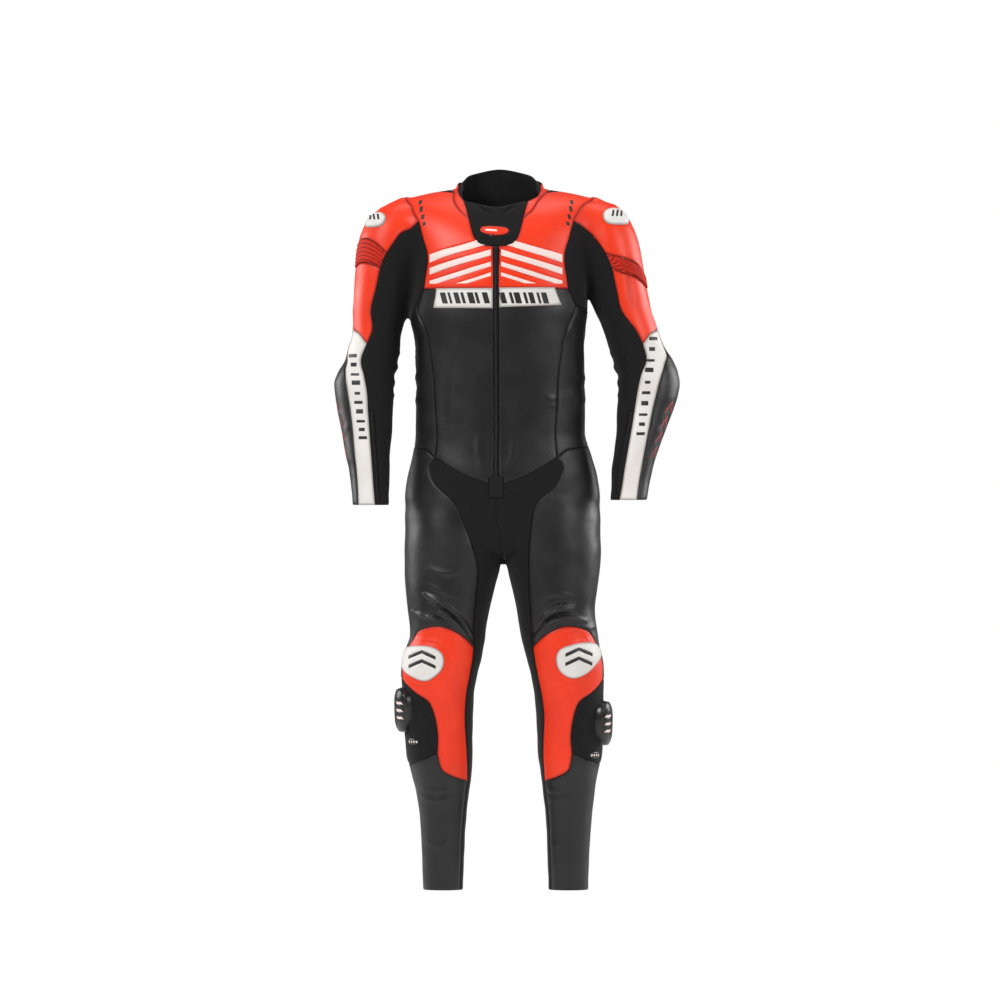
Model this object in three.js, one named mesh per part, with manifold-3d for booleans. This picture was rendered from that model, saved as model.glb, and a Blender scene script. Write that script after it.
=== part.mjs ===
// A one-piece motorcycle race suit in its worn form, hollow and open at the neck, cuffs and ankles.
// Millimetres, +Z up, the front faces -Y and the wearer's right is -X.
// The origin is on the shoulder line at the base of the neck.
import * as THREE from "three";
import Module from "manifold-3d";
import { mergeVertices } from "three/addons/utils/BufferGeometryUtils.js";

// Driving sizes
const wall = 2; // leather with its backing
const seamGap = 0.3; // between two pieces sewn edge to edge
const layGap = 0.3; // under a piece that lies on a panel
const seamStep = 26; // spacing of the points along a seam
const closeSteps = { ribFront: 3.6, ribBack: 3.6, collarBaseRear: 14 }; // closer along these seams
const ribCount = 5; // ribs of the stretch panel on each upper sleeve
const ribHeight = 1.8;
const frontCentre = -8; // the zip stands this far to the wearer's right, because the trunk is turned
const forkCentre = 8; // the fork and the centre back stand this far to the left
const riseMiddle = -640; // height that the rise seam is measured from
const trunkTurn = -4; // degrees that the trunk is turned about Z
const capHeight = -150; // above this height the trunk is measured by rays that tilt up
const waist = -480; // below it each half of the suit is measured round its own leg
const fork = -720; // height of the crotch
const zipHalf = 5; // half the width of the front zip
const zipFootHalf = 15; // half the width of the block at its foot
const bandLength = 126; // white band across the chest, from the middle
const bandFoot = -230; // its lower edge
const hem = -1390; // the leg's hem, at the ankle
const cuff = { right: -620, left: -610 };
const armpit = { right: -242, left: -216 };
const armpitX = { right: 187, left: 186 };
const forearmTurn = { right: 8, left: -8 }; // degrees
const sides = { right: -1, left: 1 };

const rad = THREE.MathUtils.degToRad;
const smooth = THREE.MathUtils.smoothstep;
const mix = THREE.MathUtils.lerp;

// Sections of the worn form: height, middle, half width, half depth and squareness (2 is an ellipse)
const sectionColumns = ["z", "x", "y", "w", "d", "n"];
const trunkRows = [
  [14, 0, 8, 40, 10, 2],
  [9, 0, 6, 106, 22, 2],
  [3, 0, 5, 144, 36, 2],
  [-8, 0, 3, 184, 54, 2.1],
  [-24, 0, 1, 203, 74, 2.2],
  [-50, 0, -1, 200, 93, 2.3],
  [-90, 0, -5, 184, 109, 2.4],
  [-140, 0, -8, 174, 118, 2.5],
  [-200, -2, -8, 174, 121, 2.5],
  [-234, -3, -10, 178, 119, 2.5],
  [-258, -3, -11, 175, 117, 2.5],
  [-282, -1, -12, 171, 114, 2.5],
  [-306, 0, -13, 168, 111, 2.5],
  [-400, 1, -12, 169, 101, 2.5],
  [-474, 1, -9, 169, 102, 2.5],
  [-522, 4, -4, 179, 109, 2.5],
  [-570, 5, 1, 191, 117, 2.4],
  [-605, 5, 3, 195, 117, 2.4],
  [-640, 5, 5, 190, 111, 2.3],
  [-675, 6, 7, 176, 101, 2.2],
  [-700, 6, 8, 160, 92, 2.1],
  [-718, 7, 8, 90, 50, 2],
  [-726, 8, 8, 12, 10, 2],
];
const neckRows = [
  [90, 0, 14, 66, 60, 2],
  [60, 0, 13, 68, 60, 2],
  [36, 0, 11, 73, 62, 2],
  [22, 0, 9, 80, 66, 2],
  [6, 0, 7, 84, 69, 2],
  [-10, 0, 4, 84, 72, 2],
  [-40, 0, -4, 76, 74, 2],
  [-90, 0, -14, 50, 60, 2],
];
const armRows = {
  right: [
    [-10, 196, 2, 4, 6, 2],
    [-20, 202, 1, 26, 32, 2],
    [-42, 212, 0, 46, 52, 2],
    [-66, 219, 0, 55, 61, 2],
    [-90, 223, 0, 59, 65, 2],
    [-138, 229, 1, 59, 67, 2],
    [-186, 235, 3, 57, 65, 2],
    [-234, 241, 4, 53, 62, 2],
    [-258, 244, 5, 50, 61, 2],
    [-282, 247, 5, 49, 60, 2],
    [-306, 252, 6, 52, 60, 2],
    [-330, 257, 6, 53, 61, 2],
    [-354, 266, 5, 58, 63, 2.1],
    [-378, 272, 3, 60, 64, 2.1],
    [-402, 271, -2, 59, 62, 2.1],
    [-426, 270, -8, 56, 59, 2],
    [-474, 266, -21, 50, 53, 2],
    [-522, 264, -35, 44, 47, 2],
    [-546, 261, -42, 41, 44, 2],
    [-580, 259, -51, 38, 41, 2],
    [-640, 257, -64, 36, 39, 2],
  ],
  left: [
    [-10, 196, 2, 4, 6, 2],
    [-20, 202, 1, 28, 32, 2],
    [-42, 208, 0, 46, 52, 2],
    [-66, 214, 0, 53, 61, 2],
    [-90, 219, 0, 57, 65, 2],
    [-138, 227, 1, 59, 67, 2],
    [-186, 236, 3, 58, 65, 2],
    [-234, 248, 4, 56, 62, 2],
    [-258, 257, 5, 55, 61, 2],
    [-282, 265, 5, 55, 60, 2],
    [-306, 274, 6, 56, 60, 2],
    [-330, 286, 6, 60, 61, 2],
    [-354, 294, 5, 62, 63, 2.1],
    [-378, 298, 3, 62, 64, 2.1],
    [-402, 296, -2, 60, 62, 2.1],
    [-426, 291, -8, 57, 59, 2],
    [-474, 281, -21, 49, 53, 2],
    [-522, 269, -35, 43, 47, 2],
    [-546, 264, -42, 41, 44, 2],
    [-580, 260, -50, 38, 41, 2],
    [-640, 254, -64, 36, 39, 2],
  ],
};
const legRows = {
  right: [
    [-560, 70, 3, 50, 50, 2],
    [-600, 84, 4, 82, 92, 2.1],
    [-650, 92, 4, 95, 106, 2.1],
    [-700, 94, 5, 97, 108, 2.1],
    [-738, 95, 4, 96, 104, 2.1],
    [-786, 100, 1, 89, 98, 2.1],
    [-834, 103, -3, 81, 90, 2.1],
    [-882, 105, -7, 75, 81, 2.1],
    [-906, 111, -9, 77, 79, 2.1],
    [-930, 116, -10, 78, 78, 2.1],
    [-954, 121, -9, 77, 76, 2.1],
    [-1000, 123, -4, 71, 73, 2],
    [-1050, 123, 4, 69, 71, 2],
    [-1122, 121, 11, 66, 69, 2],
    [-1146, 118, 12, 62, 66, 2],
    [-1170, 116, 13, 58, 62, 2],
    [-1194, 115, 14, 53, 58, 2],
    [-1250, 114, 16, 46, 51, 2],
    [-1320, 114, 18, 42, 46, 2],
    [-1400, 114, 20, 40, 44, 2],
  ],
  left: [
    [-560, 76, 3, 50, 50, 2],
    [-600, 92, 4, 84, 92, 2.1],
    [-650, 101, 4, 97, 106, 2.1],
    [-700, 103.5, 5, 98.5, 108, 2.1],
    [-738, 107, 4, 94, 104, 2.1],
    [-786, 109.5, 1, 85.5, 98, 2.1],
    [-834, 112, -3, 78, 90, 2.1],
    [-882, 119, -7, 77, 81, 2.1],
    [-906, 124, -9, 76, 79, 2.1],
    [-930, 130, -10, 76, 78, 2.1],
    [-954, 134, -9, 74, 76, 2.1],
    [-1000, 138, -4, 69, 73, 2],
    [-1050, 140, 4, 67, 71, 2],
    [-1122, 140, 11, 64, 69, 2],
    [-1146, 139, 12, 59, 66, 2],
    [-1170, 138, 13, 55, 62, 2],
    [-1194, 138, 14, 52, 58, 2],
    [-1250, 138, 16, 46, 51, 2],
    [-1320, 137, 18, 42, 46, 2],
    [-1400, 137, 20, 40, 44, 2],
  ],
};

// Hermite curve through a table, with slopes that never overshoot
function profile(rows) {
  const z = rows.map((row) => row[0]);
  const slopes = rows.map((row, i) =>
    row.map((value, c) => {
      if (i === 0 || i === rows.length - 1) return 0;
      const before = (value - rows[i - 1][c]) / (z[i] - z[i - 1]);
      const after = (rows[i + 1][c] - value) / (z[i + 1] - z[i]);
      return before * after <= 0 ? 0 : (2 * before * after) / (before + after);
    }),
  );
  const section = (height) => {
    const at = THREE.MathUtils.clamp(height, z[z.length - 1], z[0]);
    let i = z.findIndex((v) => v <= at);
    if (i < 1) i = 1;
    const span = z[i] - z[i - 1];
    const t = (at - z[i - 1]) / span;
    const value = (c) =>
      (1 + 2 * t) * (1 - t) ** 2 * rows[i - 1][c] +
      t * (1 - t) ** 2 * span * slopes[i - 1][c] +
      t * t * (3 - 2 * t) * rows[i][c] +
      t * t * (t - 1) * span * slopes[i][c];
    return Object.fromEntries(sectionColumns.map((name, c) => [name, value(c)]));
  };
  return Object.assign(section, { top: z[0], foot: z[z.length - 1] });
}
const trunk = profile(trunkRows);
const neck = profile(neckRows);
const arm = { right: profile(armRows.right), left: profile(armRows.left) };
const leg = { right: profile(legRows.right), left: profile(legRows.left) };

// How far a point lies outside a limb, about in millimetres, and negative inside
function outside(section, sign, p) {
  const s = section(p.z);
  const across = Math.abs(p.x - sign * s.x) / s.w;
  const along = Math.abs(p.y - s.y) / s.d;
  const reach = (across ** s.n + along ** s.n) ** (1 / s.n);
  return Math.max((reach - 1) * Math.min(s.w, s.d), p.z - section.top, section.foot - p.z);
}
function blend(a, b, k) {
  const h = Math.max(k - Math.abs(a - b), 0) / k;
  return Math.min(a, b) - (h * h * k) / 4;
}
function form(p) {
  let d = blend(outside(trunk, 1, p), outside(neck, 1, p), 30);
  for (const [side, sign] of Object.entries(sides)) {
    d = blend(d, outside(arm[side], sign, p), 20);
    d = blend(d, outside(leg[side], sign, p), 16);
  }
  return d;
}
function normalAt(p) {
  const e = 1.5;
  const slope = ["x", "y", "z"].map((axis) => {
    const a = p.clone();
    const b = p.clone();
    a[axis] += e;
    b[axis] -= e;
    return form(a) - form(b);
  });
  return new THREE.Vector3(...slope).normalize();
}
// First point where a ray from inside leaves the form
function leave(from, direction) {
  let inner = 0;
  let outer = 4;
  const at = (r) => from.clone().addScaledVector(direction, r);
  while (form(at(outer)) < 0 && outer < 400) {
    inner = outer;
    outer += 4;
  }
  for (let i = 0; i < 22; i++) {
    const middle = (inner + outer) / 2;
    if (form(at(middle)) < 0) inner = middle;
    else outer = middle;
  }
  return at(outer);
}

// Two maps from a flat pattern to the form: an angle from the front and a height.
// Round the body the angle grows to the left. It is taken round the trunk above the waist, and round
// the leg below it. Above capHeight the ray tilts up, so that the height goes on over the shoulder.
function bodyMap(side) {
  const sign = sides[side];
  const share = (z) => smooth(waist - z, 0, waist - fork);
  const middle = (z) => {
    const t = trunk(z);
    const l = leg[side](z);
    return { x: mix(0, sign * l.x, share(z)), y: mix(t.y, l.y, share(z)) };
  };
  const capMiddle = new THREE.Vector3(0, trunk(capHeight).y, capHeight);
  return {
    radius: 120,
    flatten(p) {
      if (p.z > capHeight) {
        const v = p.clone().sub(capMiddle);
        const tilt = Math.atan2(v.z, Math.hypot(v.x, v.y));
        return [Math.atan2(v.x, -v.y), capHeight - tilt * capHeight];
      }
      const m = middle(p.z);
      return [Math.atan2(p.x - m.x, -(p.y - m.y)), p.z];
    },
    place(angle, height) {
      const tilt = Math.max(0, (height - capHeight) / -capHeight);
      const z = Math.min(height, capHeight);
      const m = middle(z);
      const flat = Math.cos(tilt);
      const way = new THREE.Vector3(Math.sin(angle) * flat, -Math.cos(angle) * flat, Math.sin(tilt));
      return leave(new THREE.Vector3(m.x, m.y, z), way);
    },
  };
}
// Round the arm the planes are level below the armpit, and turn about a line under it above.
function armMap(side) {
  const sign = sides[side];
  const hinge = { x: armpitX[side], z: armpit[side] - 22 };
  const start = arm[side](hinge.z);
  const throat = 120; // distance of the armhole's middle from the hinge
  const pace = 62; // millimetres of height for each radian
  const middle = (turn) => mix(start.x - hinge.x, throat, smooth(turn, 0, Math.PI / 2));
  return {
    radius: 60,
    flatten(p) {
      const dx = sign * p.x - hinge.x;
      const dz = p.z - hinge.z;
      if (dz <= 0 && dx > 0) {
        const s = arm[side](p.z);
        return [sign * Math.atan2(sign * p.x - s.x, -(p.y - s.y)), p.z];
      }
      let turn = Math.atan2(dz, dx);
      if (turn < -Math.PI / 2) turn += 2 * Math.PI;
      const out = Math.hypot(dx, dz) - middle(turn);
      return [sign * Math.atan2(out, -(p.y - start.y)), hinge.z + turn * pace];
    },
    place(angle, height) {
      const a = sign * angle;
      if (height <= hinge.z) {
        const s = arm[side](height);
        const way = new THREE.Vector3(sign * Math.sin(a), -Math.cos(a), 0);
        return leave(new THREE.Vector3(sign * s.x, s.y, height), way);
      }
      const turn = (height - hinge.z) / pace;
      const out = new THREE.Vector3(sign * Math.cos(turn), 0, Math.sin(turn));
      const from = out.clone().multiplyScalar(middle(turn));
      from.add(new THREE.Vector3(sign * hinge.x, start.y, hinge.z));
      return leave(from, out.multiplyScalar(Math.sin(a)).add(new THREE.Vector3(0, -Math.cos(a), 0)));
    },
  };
}
// Round the fork in the middle plane the angle is 0 straight ahead, 90 down and 180 straight back.
const riseMap = {
  flatten: (p) => [rad(90) - Math.atan2(-p.y, riseMiddle - p.z), 0],
  place(angle) {
    const x = mix(frontCentre, forkCentre, smooth(angle, rad(-15), rad(70)));
    const way = new THREE.Vector3(0, -Math.cos(angle), -Math.sin(angle));
    return leave(new THREE.Vector3(x, 0, riseMiddle), way);
  },
};
const maps = {};
for (const side of Object.keys(sides)) {
  const body = bodyMap(side);
  maps[side] = { body, leg: { ...body, radius: 78 }, arm: armMap(side), rise: riseMap };
}

// Where a point of a seam lies, by the view that it is measured in
const place = {
  front: (side, x, z) =>
    leave(new THREE.Vector3(frontCentre + sides[side] * x, 0, z), new THREE.Vector3(0, -1, 0)),
  back: (side, x, z) =>
    leave(new THREE.Vector3(forkCentre + sides[side] * x, 0, z), new THREE.Vector3(0, 1, 0)),
  top: (side, x, y) =>
    leave(new THREE.Vector3(sides[side] * x, y, -60), new THREE.Vector3(0, 0, 1)),
  body: (side, angle, z) => {
    const turn = trunkTurn * smooth(z, fork, waist);
    return maps[side].body.place(rad(sides[side] * angle + turn), z);
  },
  arm: (side, angle, z) => {
    const turn = forearmTurn[side] * smooth(-z, 290, 340);
    return maps[side].arm.place(rad(sides[side] * (angle + turn)), z);
  },
  rise: (side, angle) => riseMap.place(rad(angle)),
};

// Knots where seams meet, for one side: view and its two measures
const knotColumns = (side) => ({
  throatFoot: ["front", zipHalf, -106],
  collarTip: ["front", 54, -50],
  throatTop: ["front", 64, -14],
  collarSideTop: ["body", 108, 18],
  neckSide: ["top", 92, -24],
  collarFoot: ["body", 112, -3],
  apexFront: ["front", 155, -54],
  shoulderTop: ["top", 190, 2],
  yokeOut: ["top", 184, 34],
  apexBack: ["back", 150, -70],
  chestIn: ["front", zipHalf, -190],
  bandIn: ["front", zipHalf, bandFoot],
  bandOut: ["front", bandLength, -190],
  chestOut: ["front", 144, -190],
  princessTop: ["front", 160, -222],
  underarm: ["body", 90, armpit[side] - 14],
  sideBackTop: ["back", 146, -236],
  yokeFootOut: ["back", 138, -190],
  bellyIn: ["front", zipFootHalf, -577],
  zipNarrow: ["front", zipHalf, -560],
  zipWide: ["front", zipFootHalf, -566],
  zipFoot: ["front", zipFootHalf, -606],
  vOut: ["front", 122, -526],
  seatTop: ["body", 86, -503],
  sideBackFoot: ["back", 112, -480],
  riseTop: ["front", 0, -606],
  riseBack: ["rise", 128],
  backCentre: ["back", 0, -478],
  kneeInTop: ["body", -48, -904],
  kneeOutTop: ["body", 66, -894],
  kneeOutLow: ["body", 74, -968],
  backOut: ["body", 118, -962],
  backIn: ["body", 222, -962],
  baseFront: ["body", 3, -1116],
  baseBack: ["body", 118, -1134],
  kneeTip: ["body", -62, -1172],
  hemInFront: ["body", -60, hem],
  hemInBack: ["body", 222, hem],
  hemOutBack: ["body", 118, hem],
  ribFrontTop: ["front", 218, -118],
  ribFrontFoot: ["front", 231, -148],
  ribBackTop: ["back", 208, -108],
  ribBackFoot: ["back", 216, -146],
  redTip: ["arm", 15, -298],
  stripeTop: ["arm", 84, -268],
  redBack: ["arm", 182, -292],
  zipTopOut: ["arm", -15, -432],
  zipTopIn: ["arm", -27, -432],
  cuffStripe: ["arm", 33, cuff[side]],
  cuffZipOut: ["arm", -22, cuff[side]],
  cuffZipIn: ["arm", -38, cuff[side]],
  cuffBack: ["arm", 200, cuff[side]],
});
// Seams of one side: first knot, points between, last knot and the map that the seam is laid on
const seamRows = {
  throatEdge: [
    "body",
    "throatFoot",
    ["front", 22, -104],
    ["front", 36, -98],
    ["front", 45, -84],
    ["front", 50, -66],
    "collarTip",
  ],
  collarInner: ["body", "collarTip", ["front", 59, -30], "throatTop"],
  collarTop: ["body", "throatTop", ["body", 68, 8], ["body", 88, 15], "collarSideTop"],
  collarSeam: ["body", "collarSideTop", "collarFoot"],
  collarBase: ["body", "collarTip", ["front", 72, -34], ["front", 84, -14], "neckSide"],
  collarBaseBack: ["body", "neckSide", "collarFoot"],
  shoulder: ["body", "neckSide", ["top", 118, 0], ["top", 150, 22], "yokeOut"],
  armOver: ["arm", "apexFront", ["front", 166, -34], "shoulderTop", "yokeOut"],
  armBehind: ["arm", "yokeOut", ["back", 164, -44], "apexBack"],
  armFront: [
    "arm",
    "apexFront",
    ["front", 147, -86],
    ["front", 138, -116],
    ["front", 137, -140],
    ["front", 141, -165],
    "chestOut",
  ],
  armLow: ["arm", "chestOut", "princessTop"],
  armUnder: ["arm", "princessTop", "underarm"],
  armUnderBack: ["arm", "underarm", "sideBackTop"],
  armLowBack: ["arm", "sideBackTop", "yokeFootOut"],
  armBack: ["arm", "yokeFootOut", ["back", 132, -140], ["back", 138, -100], "apexBack"],
  zipHigh: ["body", "throatFoot", "chestIn"],
  zipBand: ["body", "chestIn", "bandIn"],
  zipLow: ["body", "bandIn", "zipNarrow"],
  zipStep: ["body", "zipNarrow", "zipWide"],
  zipSideHigh: ["body", "zipWide", "bellyIn"],
  zipSideLow: ["body", "bellyIn", "zipFoot"],
  chestHem: ["body", "chestIn", "bandOut"],
  chestHemOut: ["body", "bandOut", "chestOut"],
  princess: [
    "body",
    "princessTop",
    ["front", 141, -270],
    ["front", 128, -335],
    ["front", 122, -414],
    ["front", 118, -480],
    "vOut",
  ],
  bellyFront: ["body", "bellyIn", ["front", 60, -561], "vOut"],
  bellySide: ["body", "vOut", ["body", 62, -510], "seatTop"],
  waistBack: ["body", "seatTop", "sideBackFoot"],
  princessBack: ["body", "sideBackTop", ["back", 122, -330], "sideBackFoot"],
  zipFootEdge: ["body", "zipFoot", "riseTop"],
  riseFront: ["rise", "riseTop", ["rise", 25], ["rise", 60], ["rise", 90], "riseBack"],
  riseRear: ["rise", "riseBack", ["rise", 155], ["rise", 190], "backCentre"],
  waistCentre: ["body", "sideBackFoot", "backCentre"],
  seatFront: ["body", "seatTop", ["body", 92, -616], ["body", 104, -760], ["body", 114, -880], "backOut"],
  seatInner: ["body", "riseBack", ["body", 232, -760], ["body", 226, -860], "backIn"],
  crotchLeg: [
    "body",
    "vOut",
    ["front", 133, -546],
    ["front", 123, -577],
    ["front", 88, -610],
    ["front", 74, -636],
    ["body", -30, -742],
    ["body", -38, -840],
    "kneeInTop",
  ],
  kneeTop: ["body", "kneeInTop", ["body", -16, -876], ["body", 12, -862], ["body", 48, -872], "kneeOutTop"],
  kneeOut: ["body", "kneeOutTop", ["body", 76, -932], "kneeOutLow"],
  baseTop: ["body", "kneeOutLow", "backOut"],
  kneeLobe: [
    "body",
    "kneeOutLow",
    ["body", 40, -994],
    ["body", 16, -1012],
    ["body", 6, -1040],
    ["body", 1, -1080],
    "baseFront",
  ],
  kneeFoot: ["body", "baseFront", ["body", -2, -1148], ["body", -22, -1162], "kneeTip"],
  kneeInner: [
    "body",
    "kneeInTop",
    ["body", -53, -978],
    ["body", -50, -1034],
    ["body", -55, -1100],
    "kneeTip",
  ],
  baseHem: ["body", "baseFront", ["body", 34, -1130], ["body", 68, -1138], "baseBack"],
  baseSide: ["body", "baseBack", "backOut"],
  shinInner: ["body", "kneeTip", "hemInFront"],
  calfOut: ["body", "baseBack", "hemOutBack"],
  calfInner: ["body", "backIn", "hemInBack"],
  seatHem: ["body", "backOut", ["body", 170, -950], "backIn"],
  hemFront: ["body", "hemInFront", ["body", 0, hem], ["body", 60, hem], "hemOutBack"],
  hemBack: ["body", "hemOutBack", ["body", 170, hem], "hemInBack"],
  hemInner: ["body", "hemInBack", ["body", 260, hem], "hemInFront"],
  capFront: ["arm", "apexFront", ["front", 186, -76], ["front", 204, -98], "ribFrontTop"],
  capBack: ["arm", "apexBack", ["back", 184, -84], "ribBackTop"],
  ribTop: ["arm", "ribFrontTop", ["arm", 50, -190], ["arm", 90, -199], ["arm", 130, -190], "ribBackTop"],
  ribFoot: ["arm", "ribFrontFoot", ["arm", 50, -204], ["arm", 90, -211], ["arm", 130, -203], "ribBackFoot"],
  ribFront: ["arm", "ribFrontTop", "ribFrontFoot"],
  ribBack: ["arm", "ribBackTop", "ribBackFoot"],
  sleeveFront: [
    "arm",
    "ribFrontFoot",
    ["front", 240, -190],
    ["front", 250, -232],
    ["arm", 9, -270],
    "redTip",
  ],
  sleeveBack: ["arm", "ribBackFoot", ["back", 226, -200], ["arm", 184, -262], "redBack"],
  redHem: ["arm", "redTip", ["arm", 40, -278], "stripeTop"],
  redHemBack: ["arm", "stripeTop", ["arm", 130, -284], "redBack"],
  stripeIn: ["arm", "redTip", ["arm", 13, -330], ["arm", -6, -362], ["arm", -14, -395], "zipTopOut"],
  notch: ["arm", "zipTopOut", "zipTopIn"],
  stripeOut: [
    "arm",
    "stripeTop",
    ["arm", 76, -310],
    ["arm", 45, -342],
    ["arm", 25, -380],
    ["arm", 23, -450],
    "cuffStripe",
  ],
  elbowBack: ["arm", "redBack", ["arm", 186, -400], "cuffBack"],
  zipOut: ["arm", "zipTopOut", "cuffZipOut"],
  zipIn: ["arm", "zipTopIn", "cuffZipIn"],
  cuffFront: ["arm", "cuffStripe", "cuffZipOut"],
  cuffZip: ["arm", "cuffZipOut", "cuffZipIn"],
  cuffInner: ["arm", "cuffZipIn", ["arm", -100, "cuff"], "cuffBack"],
  cuffOuter: ["arm", "cuffBack", ["arm", 120, "cuff"], "cuffStripe"],
};

// A smooth line through control points, by chord length, as points about a step apart
function lineThrough(points, step) {
  const at = [0];
  points.slice(1).forEach((p, i) => at.push(at[i] + p.distanceTo(points[i])));
  const last = points.length - 1;
  const slope = (i) => {
    const a = Math.max(i - 1, 0);
    const b = Math.min(i + 1, last);
    return points[b].clone().sub(points[a]).divideScalar(at[b] - at[a]);
  };
  const count = Math.max(1, Math.round(at[last] / step));
  return Array.from({ length: count + 1 }, (_, k) => {
    const s = (at[last] * k) / count;
    let i = at.findIndex((v) => v >= s - 1e-6);
    if (i < 1) i = 1;
    const span = at[i] - at[i - 1];
    const t = (s - at[i - 1]) / span;
    return new THREE.Vector3()
      .addScaledVector(points[i - 1], (1 + 2 * t) * (1 - t) ** 2)
      .addScaledVector(slope(i - 1), t * (1 - t) ** 2 * span)
      .addScaledVector(points[i], t * t * (3 - 2 * t))
      .addScaledVector(slope(i), t * t * (t - 1) * span);
  });
}

// Every seam as points on the form. Those of a side are named side.seam.
const knots = {};
const seams = {};
const spot = (side, [view, a, b]) => place[view](side, a, b === "cuff" ? cuff[side] : b);
function sew(name, side, [map, ...stops]) {
  const points = stops.map((stop) => {
    if (Array.isArray(stop)) return spot(side, stop);
    return knots[stop.includes(".") ? stop : side + "." + stop];
  });
  const line = lineThrough(points, closeSteps[name.split(".").pop()] ?? seamStep);
  const laid = line.slice(1, -1).map((p) => maps[side][map].place(...maps[side][map].flatten(p)));
  const path = [points[0], ...laid, points[points.length - 1]];
  seams[name] = path.map((p) => ({ p, n: normalAt(p) }));
}
for (const side of Object.keys(sides)) {
  for (const [name, row] of Object.entries(knotColumns(side))) knots[side + "." + name] = spot(side, row);
  for (const [name, row] of Object.entries(seamRows)) sew(side + "." + name, side, row);
}
const middleSeams = {
  zipHead: ["body", "right.throatFoot", "left.throatFoot"],
  throatTopEdge: ["body", "right.throatTop", ["front", 0, -26], "left.throatTop"],
  yokeFoot: ["body", "right.yokeFootOut", ["back", 0, -196], "left.yokeFootOut"],
  collarBaseRear: ["body", "right.collarFoot", ["body", 180, 2], "left.collarFoot"],
  collarTopRear: [
    "body",
    "right.collarSideTop",
    ["body", 146, 19],
    ["body", 180, 20],
    ["body", 210, 19],
    "left.collarSideTop",
  ],
};
for (const [name, row] of Object.entries(middleSeams)) sew(name, "right", row);

// Triangles of a flat outline with points inside it: the outline is cut into ears, each inner point
// splits the triangle that it lies in, and edges are then turned until the triangles are Delaunay's.
const cross = ([ax, ay], [bx, by], [cx, cy]) => (bx - ax) * (cy - ay) - (by - ay) * (cx - ax);
function cutEars(points, count) {
  const cells = [];
  let ring = Array.from({ length: count }, (_, i) => i);
  while (ring.length > 3) {
    let best = { worth: -Infinity };
    ring.forEach((b, k) => {
      const a = ring[(k + ring.length - 1) % ring.length];
      const c = ring[(k + 1) % ring.length];
      const [pa, pb, pc] = [points[a], points[b], points[c]];
      const size = cross(pa, pb, pc);
      if (size < -1e-6) return;
      const blocked = ring.some((d) => {
        if (d === a || d === b || d === c) return false;
        const p = points[d];
        return size > 1e-6 && cross(pa, pb, p) >= 0 && cross(pb, pc, p) >= 0 && cross(pc, pa, p) >= 0;
      });
      if (blocked) return;
      const longest = Math.hypot(pc[0] - pa[0], pc[1] - pa[1]);
      const worth = size / (longest * longest);
      if (worth > best.worth) best = { worth, k, cell: [a, b, c] };
    });
    cells.push(best.cell);
    ring.splice(best.k, 1);
  }
  return [...cells, ring];
}
function triangulate(points, count) {
  let cells = cutEars(points, count);
  for (let i = count; i < points.length; i++) {
    const p = points[i];
    const at = cells.findIndex(([a, b, c]) =>
      [[a, b], [b, c], [c, a]].every(([m, n]) => cross(points[m], points[n], p) > 1e-6),
    );
    if (at < 0) continue;
    const [a, b, c] = cells[at];
    cells.splice(at, 1, [a, b, i], [b, c, i], [c, a, i]);
  }
  for (let turned = true, round = 0; turned && round < 80; round++) {
    turned = false;
    const owner = new Map();
    for (let k = 0; k < cells.length; k++) {
      for (let e = 0; e < 3; e++) {
        const [a, b, c] = [0, 1, 2].map((j) => cells[k][(e + j) % 3]);
        const other = owner.get(b + "," + a);
        owner.set(a + "," + b, k);
        if (other === undefined || !cells[other].includes(b) || !cells[other].includes(a)) continue;
        const d = cells[other].find((v) => v !== a && v !== b);
        if (cross(points[c], points[a], points[d]) <= 1e-6) continue;
        if (cross(points[d], points[b], points[c]) <= 1e-6) continue;
        const level = cross(points[a], points[b], points[c]) < 1e-6;
        if (!level && !inCircle(points[a], points[b], points[c], points[d])) continue;
        cells[k] = [c, a, d];
        cells[other] = [d, b, c];
        turned = true;
        break;
      }
    }
  }
  return cells;
}
function inCircle(a, b, c, d) {
  const rows = [a, b, c].map(([x, y]) => [x - d[0], y - d[1]]);
  const [p, q, r] = rows.map(([x, y]) => x * x + y * y);
  const [[ax, ay], [bx, by], [cx, cy]] = rows;
  return p * (bx * cy - cx * by) - q * (ax * cy - cx * ay) + r * (ax * by - bx * ay) > 1e-6;
}
function inside([x, y], outline) {
  let odd = false;
  outline.forEach(([ax, ay], i) => {
    const [bx, by] = outline[(i + 1) % outline.length];
    if (ay > y !== by > y && x < ax + ((y - ay) / (by - ay)) * (bx - ax)) odd = !odd;
  });
  return odd;
}

// A loop of seams as one closed path, each seam turned to meet the last
function closedPath(names) {
  const same = (a, b) => a.p.distanceTo(b.p) < 1e-6;
  const first = seams[names[0]];
  const next = seams[names[1]];
  const end = first[first.length - 1];
  const turned = !(same(end, next[0]) || same(end, next[next.length - 1]));
  let path = turned ? [...first].reverse() : [...first];
  for (const name of names.slice(1)) {
    const seam = seams[name];
    const last = path[path.length - 1];
    const ahead = same(last, seam[0]) ? seam : [...seam].reverse();
    if (!same(last, ahead[0])) throw new Error("the loop breaks at " + name);
    path = [...path, ...ahead.slice(1)];
  }
  return path.slice(0, -1);
}

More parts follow.
